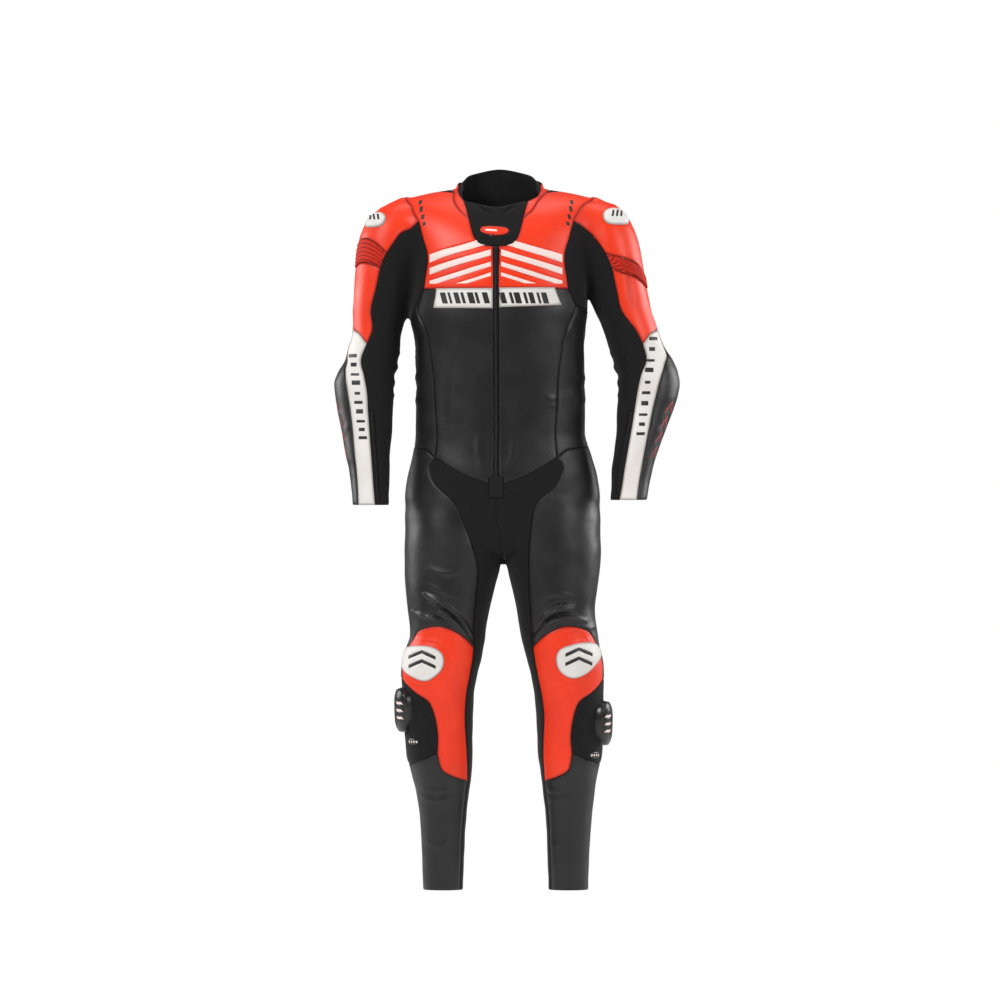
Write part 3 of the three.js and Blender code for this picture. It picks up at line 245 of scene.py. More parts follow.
seamRows = {
    "throatEdge": [
        "body", "throatFoot", ("front", 22, -104), ("front", 36, -98), ("front", 45, -84),
        ("front", 50, -66), "collarTip",
    ],
    "collarInner": ["body", "collarTip", ("front", 59, -30), "throatTop"],
    "collarTop": ["body", "throatTop", ("body", 68, 8), ("body", 88, 15), "collarSideTop"],
    "collarSeam": ["body", "collarSideTop", "collarFoot"],
    "collarBase": ["body", "collarTip", ("front", 72, -34), ("front", 84, -14), "neckSide"],
    "collarBaseBack": ["body", "neckSide", "collarFoot"],
    "shoulder": ["body", "neckSide", ("top", 118, 0), ("top", 150, 22), "yokeOut"],
    "armOver": ["arm", "apexFront", ("front", 166, -34), "shoulderTop", "yokeOut"],
    "armBehind": ["arm", "yokeOut", ("back", 164, -44), "apexBack"],
    "armFront": [
        "arm", "apexFront", ("front", 147, -86), ("front", 138, -116), ("front", 137, -140),
        ("front", 141, -165), "chestOut",
    ],
    "armLow": ["arm", "chestOut", "princessTop"],
    "armUnder": ["arm", "princessTop", "underarm"],
    "armUnderBack": ["arm", "underarm", "sideBackTop"],
    "armLowBack": ["arm", "sideBackTop", "yokeFootOut"],
    "armBack": ["arm", "yokeFootOut", ("back", 132, -140), ("back", 138, -100), "apexBack"],
    "zipHigh": ["body", "throatFoot", "chestIn"],
    "zipBand": ["body", "chestIn", "bandIn"],
    "zipLow": ["body", "bandIn", "zipNarrow"],
    "zipStep": ["body", "zipNarrow", "zipWide"],
    "zipSideHigh": ["body", "zipWide", "bellyIn"],
    "zipSideLow": ["body", "bellyIn", "zipFoot"],
    "chestHem": ["body", "chestIn", "bandOut"],
    "chestHemOut": ["body", "bandOut", "chestOut"],
    "princess": [
        "body", "princessTop", ("front", 141, -270), ("front", 128, -335), ("front", 122, -414),
        ("front", 118, -480), "vOut",
    ],
    "bellyFront": ["body", "bellyIn", ("front", 60, -561), "vOut"],
    "bellySide": ["body", "vOut", ("body", 62, -510), "seatTop"],
    "waistBack": ["body", "seatTop", "sideBackFoot"],
    "princessBack": ["body", "sideBackTop", ("back", 122, -330), "sideBackFoot"],
    "zipFootEdge": ["body", "zipFoot", "riseTop"],
    "riseFront": ["rise", "riseTop", ("rise", 25), ("rise", 60), ("rise", 90), "riseBack"],
    "riseRear": ["rise", "riseBack", ("rise", 155), ("rise", 190), "backCentre"],
    "waistCentre": ["body", "sideBackFoot", "backCentre"],
    "seatFront": ["body", "seatTop", ("body", 92, -616), ("body", 104, -760), ("body", 114, -880), "backOut"],
    "seatInner": ["body", "riseBack", ("body", 232, -760), ("body", 226, -860), "backIn"],
    "crotchLeg": [
        "body", "vOut", ("front", 133, -546), ("front", 123, -577), ("front", 88, -610),
        ("front", 74, -636), ("body", -30, -742), ("body", -38, -840), "kneeInTop",
    ],
    "kneeTop": ["body", "kneeInTop", ("body", -16, -876), ("body", 12, -862), ("body", 48, -872), "kneeOutTop"],
    "kneeOut": ["body", "kneeOutTop", ("body", 76, -932), "kneeOutLow"],
    "baseTop": ["body", "kneeOutLow", "backOut"],
    "kneeLobe": [
        "body", "kneeOutLow", ("body", 40, -994), ("body", 16, -1012), ("body", 6, -1040),
        ("body", 1, -1080), "baseFront",
    ],
    "kneeFoot": ["body", "baseFront", ("body", -2, -1148), ("body", -22, -1162), "kneeTip"],
    "kneeInner": ["body", "kneeInTop", ("body", -53, -978), ("body", -50, -1034), ("body", -55, -1100), "kneeTip"],
    "baseHem": ["body", "baseFront", ("body", 34, -1130), ("body", 68, -1138), "baseBack"],
    "baseSide": ["body", "baseBack", "backOut"],
    "shinInner": ["body", "kneeTip", "hemInFront"],
    "calfOut": ["body", "baseBack", "hemOutBack"],
    "calfInner": ["body", "backIn", "hemInBack"],
    "seatHem": ["body", "backOut", ("body", 170, -950), "backIn"],
    "hemFront": ["body", "hemInFront", ("body", 0, hem), ("body", 60, hem), "hemOutBack"],
    "hemBack": ["body", "hemOutBack", ("body", 170, hem), "hemInBack"],
    "hemInner": ["body", "hemInBack", ("body", 260, hem), "hemInFront"],
    "capFront": ["arm", "apexFront", ("front", 186, -76), ("front", 204, -98), "ribFrontTop"],
    "capBack": ["arm", "apexBack", ("back", 184, -84), "ribBackTop"],
    "ribTop": ["arm", "ribFrontTop", ("arm", 50, -190), ("arm", 90, -199), ("arm", 130, -190), "ribBackTop"],
    "ribFoot": ["arm", "ribFrontFoot", ("arm", 50, -204), ("arm", 90, -211), ("arm", 130, -203), "ribBackFoot"],
    "ribFront": ["arm", "ribFrontTop", "ribFrontFoot"],
    "ribBack": ["arm", "ribBackTop", "ribBackFoot"],
    "sleeveFront": ["arm", "ribFrontFoot", ("front", 240, -190), ("front", 250, -232), ("arm", 9, -270), "redTip"],
    "sleeveBack": ["arm", "ribBackFoot", ("back", 226, -200), ("arm", 184, -262), "redBack"],
    "redHem": ["arm", "redTip", ("arm", 40, -278), "stripeTop"],
    "redHemBack": ["arm", "stripeTop", ("arm", 130, -284), "redBack"],
    "stripeIn": ["arm", "redTip", ("arm", 13, -330), ("arm", -6, -362), ("arm", -14, -395), "zipTopOut"],
    "notch": ["arm", "zipTopOut", "zipTopIn"],
    "stripeOut": [
        "arm", "stripeTop", ("arm", 76, -310), ("arm", 45, -342), ("arm", 25, -380), ("arm", 23, -450),
        "cuffStripe",
    ],
    "elbowBack": ["arm", "redBack", ("arm", 186, -400), "cuffBack"],
    "zipOut": ["arm", "zipTopOut", "cuffZipOut"],
    "zipIn": ["arm", "zipTopIn", "cuffZipIn"],
    "cuffFront": ["arm", "cuffStripe", "cuffZipOut"],
    "cuffZip": ["arm", "cuffZipOut", "cuffZipIn"],
    "cuffInner": ["arm", "cuffZipIn", ("arm", -100, "cuff"), "cuffBack"],
    "cuffOuter": ["arm", "cuffBack", ("arm", 120, "cuff"), "cuffStripe"],
}
middleSeams = {
    "zipHead": ["body", "right.throatFoot", "left.throatFoot"],
    "throatTopEdge": ["body", "right.throatTop", ("front", 0, -26), "left.throatTop"],
    "yokeFoot": ["body", "right.yokeFootOut", ("back", 0, -196), "left.yokeFootOut"],
    "collarBaseRear": ["body", "right.collarFoot", ("body", 180, 2), "left.collarFoot"],
    "collarTopRear": [
        "body", "right.collarSideTop", ("body", 146, 19), ("body", 180, 20), ("body", 210, 19), "left.collarSideTop"
    ],
}


def smooth(v, low, high):
    t = np.clip((v - low) / (high - low), 0, 1)
    return t * t * (3 - 2 * t)


def mix(a, b, t):
    return a + (b - a) * t


# A Hermite curve through the rows of a table, with slopes that never overshoot, for each millimetre of height
def profile(rows):
    rows = np.array(rows, float)
    z, values = rows[:, 0], rows[:, 1:]
    step = np.diff(values, axis=0) / np.diff(z)[:, None]
    before, after = step[:-1], step[1:]
    steady = before * after > 0
    slopes = np.zeros_like(values)
    slopes[1:-1][steady] = 2 * (before * after)[steady] / (before + after)[steady]
    fine = np.arange(z[-1], z[0] + 1)
    i = np.clip(np.searchsorted(-z, -fine, side="right") - 1, 0, len(z) - 2)
    span = (z[i + 1] - z[i])[:, None]
    t = (fine - z[i])[:, None] / span
    curve = (1 + 2 * t) * (1 - t) ** 2 * values[i] + t * (1 - t) ** 2 * span * slopes[i]
    curve += t * t * (3 - 2 * t) * values[i + 1] + t * t * (t - 1) * span * slopes[i + 1]
    return {"foot": z[-1], "top": z[0], "curve": curve}


def sectionAt(limb, height):
    at = np.clip(height, limb["foot"], limb["top"]) - limb["foot"]
    low = np.minimum(at.astype(int), len(limb["curve"]) - 2)
    share = (at - low)[:, None]
    return (limb["curve"][low] * (1 - share) + limb["curve"][low + 1] * share).T


trunk, neck = profile(trunkRows), profile(neckRows)
arm = {side: profile(rows) for side, rows in armRows.items()}
leg = {side: profile(rows) for side, rows in legRows.items()}


# How far points lie outside a limb: the superellipse's reach past 1, times its smaller half width
def outside(limb, sign, p):
    x, y, w, d, n = sectionAt(limb, p[:, 2])
    across, along = np.abs(p[:, 0] - sign * x) / w, np.abs(p[:, 1] - y) / d
    reach = (across**n + along**n) ** (1 / n)
    ends = np.maximum(p[:, 2] - limb["top"], limb["foot"] - p[:, 2])
    return np.maximum((reach - 1) * np.minimum(w, d), ends)


def blend(a, b, k):
    h = np.maximum(k - np.abs(a - b), 0) / k
    return np.minimum(a, b) - h * h * k / 4


# The worn form: trunk, neck, arms and legs, run into each other with small fillets
def form(p):
    d = blend(outside(trunk, 1, p), outside(neck, 1, p), 30)
    for side, sign in sides.items():
        d = blend(d, outside(arm[side], sign, p), 20)
        d = blend(d, outside(leg[side], sign, p), 16)
    return d


def normalAt(p):
    e = 1.5 * np.eye(3)
    n = np.stack([form(p + step) - form(p - step) for step in e], axis=1)
    return n / np.linalg.norm(n, axis=1)[:, None]


# Where rays from inside leave the form: steps of 8 mm to the first point outside, then halving
def leave(start, way):
    start = np.broadcast_to(start, way.shape)
    inner, outer = np.zeros(len(way)), np.full(len(way), 8.0)
    live = np.arange(len(way))
    while len(live):
        live = live[form(start[live] + way[live] * outer[live, None]) < 0]
        live = live[outer[live] < 400]
        inner[live] = outer[live]
        outer[live] += 8
    for _ in range(13):
        middle = (inner + outer) / 2
        within = form(start + way * middle[:, None]) < 0
        inner, outer = np.where(within, middle, inner), np.where(within, outer, middle)
    return start + way * outer[:, None]


# Maps from a flat pattern to the form: an angle and a height, each with the radius that the angle is drawn at.
# Round the body the angle grows from the front to the left, round the trunk above the waist and the leg below.
def bodyMap(side):
    sign = sides[side]

    def middle(z):
        share = smooth(waist - z, 0, waist - fork)
        onLeg = sectionAt(leg[side], z)
        return share * sign * onLeg[0], mix(sectionAt(trunk, z)[1], onLeg[1], share)

    capY = sectionAt(trunk, np.array([float(capHeight)]))[1][0]

    def flatten(p):
        x, y = middle(p[:, 2])
        low = np.stack([np.arctan2(p[:, 0] - x, y - p[:, 1]), p[:, 2]], axis=1)
        v = p - [0, capY, capHeight]
        tilt = np.arctan2(v[:, 2], np.hypot(v[:, 0], v[:, 1]))
        high = np.stack([np.arctan2(v[:, 0], -v[:, 1]), capHeight - tilt * capHeight], axis=1)
        return np.where(p[:, 2:] > capHeight, high, low)

    def place(angle, height):
        tilt = np.maximum(0, (height - capHeight) / -capHeight)
        z = np.minimum(height, capHeight)
        x, y = middle(z)
        flat = np.cos(tilt)
        way = np.stack([np.sin(angle) * flat, -np.cos(angle) * flat, np.sin(tilt)], axis=1)
        return leave(np.stack([x, y, z], axis=1), way)

    return flatten, place


# Round the arm the planes are level below the armpit, and above it they turn about a line under it.
def armMap(side):
    sign, hingeX, hingeZ = sides[side], armpitX[side], armpit[side] - 22
    startX, startY = sectionAt(arm[side], np.array([float(hingeZ)]))[:2, 0]
    throat, pace = 120, 62

    def middle(turn):
        return mix(startX - hingeX, throat, smooth(turn, 0, np.pi / 2))

    def flatten(p):
        dx, dz = sign * p[:, 0] - hingeX, p[:, 2] - hingeZ
        x, y = sectionAt(arm[side], p[:, 2])[:2]
        low = np.stack([sign * np.arctan2(sign * p[:, 0] - x, y - p[:, 1]), p[:, 2]], axis=1)
        turn = np.arctan2(dz, dx)
        turn = np.where(turn < -np.pi / 2, turn + 2 * np.pi, turn)
        out = np.hypot(dx, dz) - middle(turn)
        high = np.stack([sign * np.arctan2(out, startY - p[:, 1]), hingeZ + turn * pace], axis=1)
        return np.where(((dz <= 0) & (dx > 0))[:, None], low, high)

    def place(angle, height):
        a = sign * angle
        x, y = sectionAt(arm[side], height)[:2]
        level = (height <= hingeZ)[:, None]
        turn = (height - hingeZ) / pace
        out = np.stack([sign * np.cos(turn), 0 * turn, np.sin(turn)], axis=1)
        start = out * middle(turn)[:, None] + [sign * hingeX, startY, hingeZ]
        ahead = np.array([[0, -1, 0]]) * np.cos(a)[:, None]
        side0 = np.array([[sign, 0, 0]]) * np.sin(a)[:, None]
        way = np.where(level, side0, out * np.sin(a)[:, None]) + ahead
        return leave(np.where(level, np.stack([sign * x, y, height], axis=1), start), way)

    return flatten, place


# Round the fork in the middle plane the angle is 0 straight ahead, 90 down and 180 straight back.
def riseFlatten(p):
    return np.stack([np.pi / 2 - np.arctan2(-p[:, 1], riseMiddle - p[:, 2]), 0 * p[:, 0]], axis=1)


def risePlace(angle, _):
    x = mix(frontCentre, forkCentre, smooth(angle, np.radians(-15), np.radians(70)))
    way = np.stack([0 * angle, -np.cos(angle), -np.sin(angle)], axis=1)
    return leave(np.stack([x, 0 * x, 0 * x + riseMiddle], axis=1), way)


maps = {}
for side in sides:
    body, sleeve = bodyMap(side), armMap(side)
    maps[side] = {"body": (*body, 120), "leg": (*body, 78), "arm": (*sleeve, 60), "rise": (riseFlatten, risePlace, 100)}


# Points of the pattern by the view that they are measured in: front, back and top in millimetres, the rest in degrees
def placeSpots(side, view, a, b):
    sign, a, b = sides[side], np.array(a, float), np.array(b, float)
    zero = np.zeros_like(a)
    if view in ("front", "back"):
        x = (frontCentre if view == "front" else forkCentre) + sign * a
        way = [0, -1 if view == "front" else 1, 0]
        return leave(np.stack([x, zero, b], axis=1), np.tile(np.array(way, float), (len(a), 1)))
    if view == "top":
        return leave(np.stack([sign * a, b, zero - 60], axis=1), np.tile([0.0, 0, 1], (len(a), 1)))
    if view == "body":
        turn = trunkTurn * smooth(b, fork, waist)
        return maps[side]["body"][1](np.radians(sign * a + turn), b)
    if view == "arm":
        turn = forearmTurn[side] * smooth(-b, 290, 340)
        return maps[side]["arm"][1](np.radians(sign * (a + turn)), b)
    return risePlace(np.radians(a), b)


def spots(side, rows):
    points = np.zeros((len(rows), 3))
    for view in {row[0] for row in rows}:
        at = [i for i, row in enumerate(rows) if row[0] == view]
        a = [rows[i][1] for i in at]
        b = [rows[i][2] if len(rows[i]) > 2 else 0 for i in at]
        points[at] = placeSpots(side, view, a, [cuff[side] if v == "cuff" else v for v in b])
    return points


# A smooth line through control points: a Hermite curve by chord length, sampled about a step apart
def lineThrough(points, step):
    at = np.concatenate([[0], np.cumsum(np.linalg.norm(np.diff(points, axis=0), axis=1))])
    last = len(points) - 1
    a, b = np.maximum(np.arange(last + 1) - 1, 0), np.minimum(np.arange(last + 1) + 1, last)
    slopes = (points[b] - points[a]) / (at[b] - at[a])[:, None]
    s = np.linspace(0, at[-1], max(2, round(at[-1] / step)) + 1)
    i = np.clip(np.searchsorted(at, s) - 1, 0, last - 1)
    span = (at[i + 1] - at[i])[:, None]
    t = (s - at[i])[:, None] / span
    line = (1 + 2 * t) * (1 - t) ** 2 * points[i] + t * (1 - t) ** 2 * span * slopes[i]
    return line + t * t * (3 - 2 * t) * points[i + 1] + t * t * (t - 1) * span * slopes[i + 1]


# Every seam as points and normals on the form
seams = {}


def sew(named, rows):
    knots = {}
    for side, table in named.items():
        names = list(table)
        for name, p in zip(names, spots(side, list(table.values()))):
            knots[side + "." + name] = p
    lines = {}
    for name, side, (chart, *stops) in rows:
        placed = iter(spots(side, [s for s in stops if isinstance(s, tuple)] or [("front", 0, -300)]))
        points = [next(placed) if isinstance(s, tuple) else knots[s if "." in s else side + "." + s] for s in stops]
        lines[name] = (side, chart, lineThrough(np.array(points), seamStep))
    for key in {(side, chart) for side, chart, _ in lines.values()}:
        flatten, place, _ = maps[key[0]][key[1]]
        names = [n for n, (side, chart, _) in lines.items() if (side, chart) == key]
        inner = np.concatenate([lines[n][2][1:-1] for n in names])
        laid = place(*flatten(inner).T)
        for name in names:
            line = lines[name][2].copy()
            line[1:-1], laid = laid[: len(line) - 2], laid[len(line) - 2 :]
            seams[name] = np.hstack([line, normalAt(line)])


sew(
    {side: knotRows(side) for side in sides},
    [(side + "." + name, side, row) for side in sides for name, row in seamRows.items()]
    + [(name, "right", row) for name, row in middleSeams.items()],
)
print("stage: seams drawn", len(seams))


def hexColour(code):
    s = [int(code[i : i + 2], 16) / 255 for i in (1, 3, 5)]
    return (*[v / 12.92 if v < 0.04045 else ((v + 0.055) / 1.055) ** 2.4 for v in s], 1)


def addNode(tree, kind, settings=(), links=()):
    node = tree.nodes.new(kind)
    for key, value in dict(settings).items():
        if isinstance(key, str) and hasattr(node, key):
            setattr(node, key, value)
        else:
            node.inputs[key].default_value = value
    for key, socket in dict(links).items():
        tree.links.new(socket, node.inputs[key])
    return node


def newFinish(name):
    finish = bpy.data.materials.new(name)
    finish.use_nodes = True
    tree = finish.node_tree
    shader = tree.nodes["Principled BSDF"]
    return finish, tree, shader


# Drum-dyed cowhide, smooth and lightly finished: pebbled grain, a soft sheen, creased, and darker near its seams,
# partly as wear and partly as painted shade where the edge turns down into the seam, with painted shade at the bottom
# of its creases
def leather(name, settings):
    finish, tree, shader = newFinish(name)
    place = addNode(tree, "ShaderNodeTexCoord").outputs["Object"]
    edge = addNode(tree, "ShaderNodeAttribute", {"attribute_name": "seamAndShadeDistance"}).outputs["Fac"]
    # hide grain is under a millimetre, and is drawn at 1.6 mm so that it shows
    grain = addNode(
        tree, "ShaderNodeTexVoronoi", {"feature": "DISTANCE_TO_EDGE", "Scale": 1 / 0.0016}, {"Vector": place}
    )
    pores = addNode(tree, "ShaderNodeTexNoise", {"Scale": 1 / 0.004, "Detail": 4.0}, {"Vector": place})
    cloud = addNode(tree, "ShaderNodeTexNoise", {"Scale": 1 / 0.07, "Detail": 3.0}, {"Vector": place})
    shade = addNode(
        tree,
        "ShaderNodeMix",
        {"data_type": "RGBA", 6: hexColour(settings["colour"]), 7: hexColour(settings["worn"])},
        {0: addNode(tree, "ShaderNodeMapRange", {1: 0.42, 2: 0.72}, {0: cloud.outputs["Fac"]}).outputs[0]},
    )
    # painted shade: the colour turns to the seam colour within 5 mm of a seam (partly wear) and at the bottom of
    # creases
    near = addNode(tree, "ShaderNodeMapRange", {1: 0.0, 2: 5.0, 3: 1.0, 4: 0.0}, {0: edge})
    dark = addNode(
        tree,
        "ShaderNodeMix",
        {"data_type": "RGBA", 7: hexColour(settings["seam"])},
        {0: near.outputs[0], 6: shade.outputs[2]},
    )
    tree.links.new(dark.outputs[2], shader.inputs["Base Color"])
    rough = addNode(
        tree,
        "ShaderNodeMapRange",
        {1: 0.3, 2: 0.7, 3: settings["roughness"] - 0.06, 4: settings["roughness"] + 0.08},
        {0: cloud.outputs["Fac"]},
    )
    tree.links.new(rough.outputs[0], shader.inputs["Roughness"])
    fine = addNode(
        tree,
        "ShaderNodeBump",
        {"Strength": settings["grain"], "Distance": 0.0004},
        {"Height": grain.outputs["Distance"]},
    )
    soft = addNode(
        tree,
        "ShaderNodeBump",
        {"Strength": settings["grain"] * 0.6, "Distance": 0.0008},
        {"Height": pores.outputs["Fac"], "Normal": fine.outputs[0]},
    )
    tree.links.new(soft.outputs[0], shader.inputs["Normal"])
    shader.inputs["IOR"].default_value = 1.5
    shader.inputs["Specular IOR Level"].default_value = settings["gloss"]
    return finish


# Aramid and elastane stretch cloth: a dull twill with a faint nap, drawn at 2 mm so that the ribs show
def stretchCloth(name, settings):
    finish, tree, shader = newFinish(name)
    pattern = addNode(tree, "ShaderNodeUVMap", {"uv_map": "pattern"}).outputs["UV"]
    place = addNode(tree, "ShaderNodeTexCoord").outputs["Object"]
    twill = addNode(
        tree,
        "ShaderNodeTexWave",
        {"bands_direction": "DIAGONAL", "Scale": 1 / settings["pitch"] / 6.3, "Distortion": 0.6, "Detail": 1.0},
        {"Vector": pattern},
    )
    fuzz = addNode(tree, "ShaderNodeTexNoise", {"Scale": 1 / 0.0025, "Detail": 3.0}, {"Vector": place})
    tone = addNode(
        tree,
        "ShaderNodeMix",
        {"data_type": "RGBA", 6: hexColour(settings["colour"]), 7: hexColour(settings["nap"])},
        {0: fuzz.outputs["Fac"]},
    )
    # painted shade: darker within about 2 mm of a seam (partly wear), at the bottom of creases and in the grooves
    # between ribs
    edge = addNode(tree, "ShaderNodeAttribute", {"attribute_name": "seamAndShadeDistance"}).outputs["Fac"]
    near = addNode(tree, "ShaderNodeMapRange", {1: 0.3, 2: 2.2, 3: 1.0, 4: 0.0}, {0: edge})
    deep = addNode(
        tree,
        "ShaderNodeMix",
        {"data_type": "RGBA", 7: hexColour(settings["seam"])},
        {0: near.outputs[0], 6: tone.outputs[2]},
    )
    tree.links.new(deep.outputs[2], shader.inputs["Base Color"])
    weave = addNode(
        tree, "ShaderNodeBump", {"Strength": 0.35, "Distance": 0.0005}, {"Height": twill.outputs["Fac"]}
    )
    nap = addNode(
        tree,
        "ShaderNodeBump",
        {"Strength": 0.25, "Distance": 0.0004},
        {"Height": fuzz.outputs["Fac"], "Normal": weave.outputs[0]},
    )
    tree.links.new(nap.outputs[0], shader.inputs["Normal"])
    shader.inputs["Roughness"].default_value = settings["roughness"]
    shader.inputs["Specular IOR Level"].default_value = 0.25
    shader.inputs["Sheen Weight"].default_value = settings["sheen"]
    shader.inputs["Sheen Roughness"].default_value = 0.5
    return finish


# Moulded, coated or printed surfaces: one colour with a slight unevenness in its gloss
def plain(name, settings):
    finish, tree, shader = newFinish(name)
    place = addNode(tree, "ShaderNodeTexCoord").outputs["Object"]
    grit = addNode(tree, "ShaderNodeTexNoise", {"Scale": 1 / settings["grit"], "Detail": 3.0}, {"Vector": place})
    tone = addNode(
        tree,
        "ShaderNodeMix",
        {"data_type": "RGBA", 6: hexColour(settings["colour"]), 7: hexColour(settings["worn"])},
        {0: grit.outputs["Fac"]},
    )
    tree.links.new(tone.outputs[2], shader.inputs["Base Color"])
    rough = addNode(
        tree,
        "ShaderNodeMapRange",
        {1: 0.3, 2: 0.7, 3: settings["roughness"] - 0.05, 4: settings["roughness"] + 0.08},
        {0: grit.outputs["Fac"]},
    )
    tree.links.new(rough.outputs[0], shader.inputs["Roughness"])
    bump = addNode(tree, "ShaderNodeBump", {"Strength": 0.2, "Distance": 0.0003}, {"Height": grit.outputs["Fac"]})
    tree.links.new(bump.outputs[0], shader.inputs["Normal"])
    shader.inputs["Metallic"].default_value = settings.get("metallic", 0.0)
    return finish


# each seam colour is drawn near seams, partly as wear and partly as painted shade, and as painted shade at the bottom
# of creases and in rib grooves
leathers = {
    "redLeather": {"colour": "#eb350d", "worn": "#e02e0b", "seam": "#ad1f0d", "roughness": 0.42, "grain": 0.35, "gloss": 0.4},
    "blackLeather": {"colour": "#181717", "worn": "#1e1d1d", "seam": "#0a0909", "roughness": 0.4, "grain": 0.4, "gloss": 0.42},
    "whiteLeather": {"colour": "#dedad6", "worn": "#d3cec9", "seam": "#96918b", "roughness": 0.48, "grain": 0.3, "gloss": 0.35},
    "darkRedLeather": {"colour": "#cf2611", "worn": "#c2220f", "seam": "#8b1708", "roughness": 0.48, "grain": 0.35, "gloss": 0.35},
}
cloths = {
    "blackStretch": {"colour": "#0f0e0e", "nap": "#171616", "seam": "#070707", "pitch": 0.002, "roughness": 0.92, "sheen": 0.06},
    "redStretch": {"colour": "#d32a13", "nap": "#c0230f", "seam": "#6e1207", "pitch": 0.0018, "roughness": 0.8, "sheen": 0.05},
    "zipTape": {"colour": "#101010", "nap": "#191919", "seam": "#080808", "pitch": 0.0012, "roughness": 0.85, "sheen": 0.03},
    "stitchBlack": {"colour": "#2c2b2b", "nap": "#383636", "seam": "#2c2b2b", "pitch": 0.0006, "roughness": 0.6, "sheen": 0.1},
    "stitchRed": {"colour": "#b52412", "nap": "#9f1e0e", "seam": "#b52412", "pitch": 0.0006, "roughness": 0.6, "sheen": 0.1},
    "stitchWhite": {"colour": "#b9b5b0", "nap": "#a8a49e", "seam": "#b9b5b0", "pitch": 0.0006, "roughness": 0.6, "sheen": 0.1},
}
plains = {
    "inkBlack": {"colour": "#151414", "worn": "#1c1b1b", "roughness": 0.5, "grit": 0.003},
    "inkWhite": {"colour": "#f0dcd6", "worn": "#e6d0c9", "roughness": 0.5, "grit": 0.003},
    "inkRed": {"colour": "#c8230f", "worn": "#cf2410", "roughness": 0.5, "grit": 0.003},
    "mouldedPlastic": {"colour": "#111111", "worn": "#181818", "roughness": 0.3, "grit": 0.004},
    "blackenedZinc": {"colour": "#3a3a3c", "worn": "#2c2c2e", "roughness": 0.34, "grit": 0.002, "metallic": 0.9},
}
finishes = {name: leather("cowhide_" + name, s) for name, s in leathers.items()}
finishes.update({name: stretchCloth("woven_" + name, s) for name, s in cloths.items()})
finishes.update({name: plain("coated_" + name, s) for name, s in plains.items()})
print("stage: finishes made", len(finishes))


# Rows of waves in all directions, about 1 high: the slack of cloth that is nowhere quite even
slackWaves = np.random.default_rng(7).normal(size=(10, 3))
slackWaves /= np.linalg.norm(slackWaves, axis=1)[:, None]
slackLengths = np.linspace(34, 120, 10)


def slack(p):
    phase = p @ (slackWaves / slackLengths[:, None]).T * 2 * np.pi + np.arange(10) * 1.7
    return np.sin(phase).mean(axis=1) * 2


def nearest(p, points):
    best, at = np.full(len(p), 1e9), np.zeros(len(p), int)
    for i in range(0, len(p), 1500):
        gap = ((p[i : i + 1500, None] - points[None]) ** 2).sum(axis=2)
        at[i : i + 1500] = gap.argmin(axis=1)
        best[i : i + 1500] = np.sqrt(gap.min(axis=1))
    return best, at


def insideOutline(points, ring):
    x, y = points[:, 0, None], points[:, 1, None]
    ax, ay = ring[:, 0], ring[:, 1]
    bx, by = np.roll(ax, -1), np.roll(ay, -1)
    rise = np.where(by == ay, 1e-9, by - ay)
    crosses = ((ay > y) != (by > y)) & (x < ax + (y - ay) / rise * (bx - ax))
    return crosses.sum(axis=1) % 2 == 1


def closedPath(names):
    path = seams[names[0]]
    ends = seams[names[1]][[0, -1], :3]
    if np.abs(ends - path[-1, :3]).sum(axis=1).min() > 1e-3:
        path = path[::-1]
    for name in names[1:]:
        seam = seams[name]
        if np.abs(seam[0, :3] - path[-1, :3]).sum() > 1e-3:
            seam = seam[::-1]
        path = np.vstack([path, seam[1:]])
    return path[:-1]


def flatOn(chart, p, near=None):
    flat = chart[0](p)
    if near is not None:
        flat[:, 0] += 2 * np.pi * np.round((near - flat[:, 0]) / (2 * np.pi))
    return flat * [chart[2], 1]


# A panel's border: points and normals, the way inward along the form, and the flat outline anticlockwise
def borderOf(chart, path):
    flat = chart[0](path[:, :3])
    flat[:, 0] = np.unwrap(flat[:, 0])
    flat *= [chart[2], 1]
    after = np.roll(flat, -1, axis=0)
    if (flat[:, 0] * after[:, 1] - after[:, 0] * flat[:, 1]).sum() < 0:
        path, flat = path[::-1], flat[::-1]
    p, n = path[:, :3], path[:, 3:]
    ahead = np.cross(n, np.roll(p, -1, axis=0) - p)
    ahead /= np.linalg.norm(ahead, axis=1)[:, None]
    behind = np.roll(ahead, 1, axis=0)
    inward = ahead + behind
    inward /= np.maximum(0.3, (ahead * inward).sum(axis=1) / np.linalg.norm(inward, axis=1))[:, None]
    inward /= np.linalg.norm(ahead + behind, axis=1)[:, None]
    return {"p": p, "n": n, "inward": inward, "flat": flat, "near": flat[:, 0].mean() / chart[2]}


# Points of a row that runs at one distance inside the border, without those that come too near it
def rowInside(chart, border, distance):
    row = border["p"] + border["inward"] * distance
    flat = flatOn(chart, row, border["near"])
    gap = nearest(row, border["p"])[0]
    return flat, row, insideOutline(flat, border["flat"]) & (gap > 0.85 * distance)


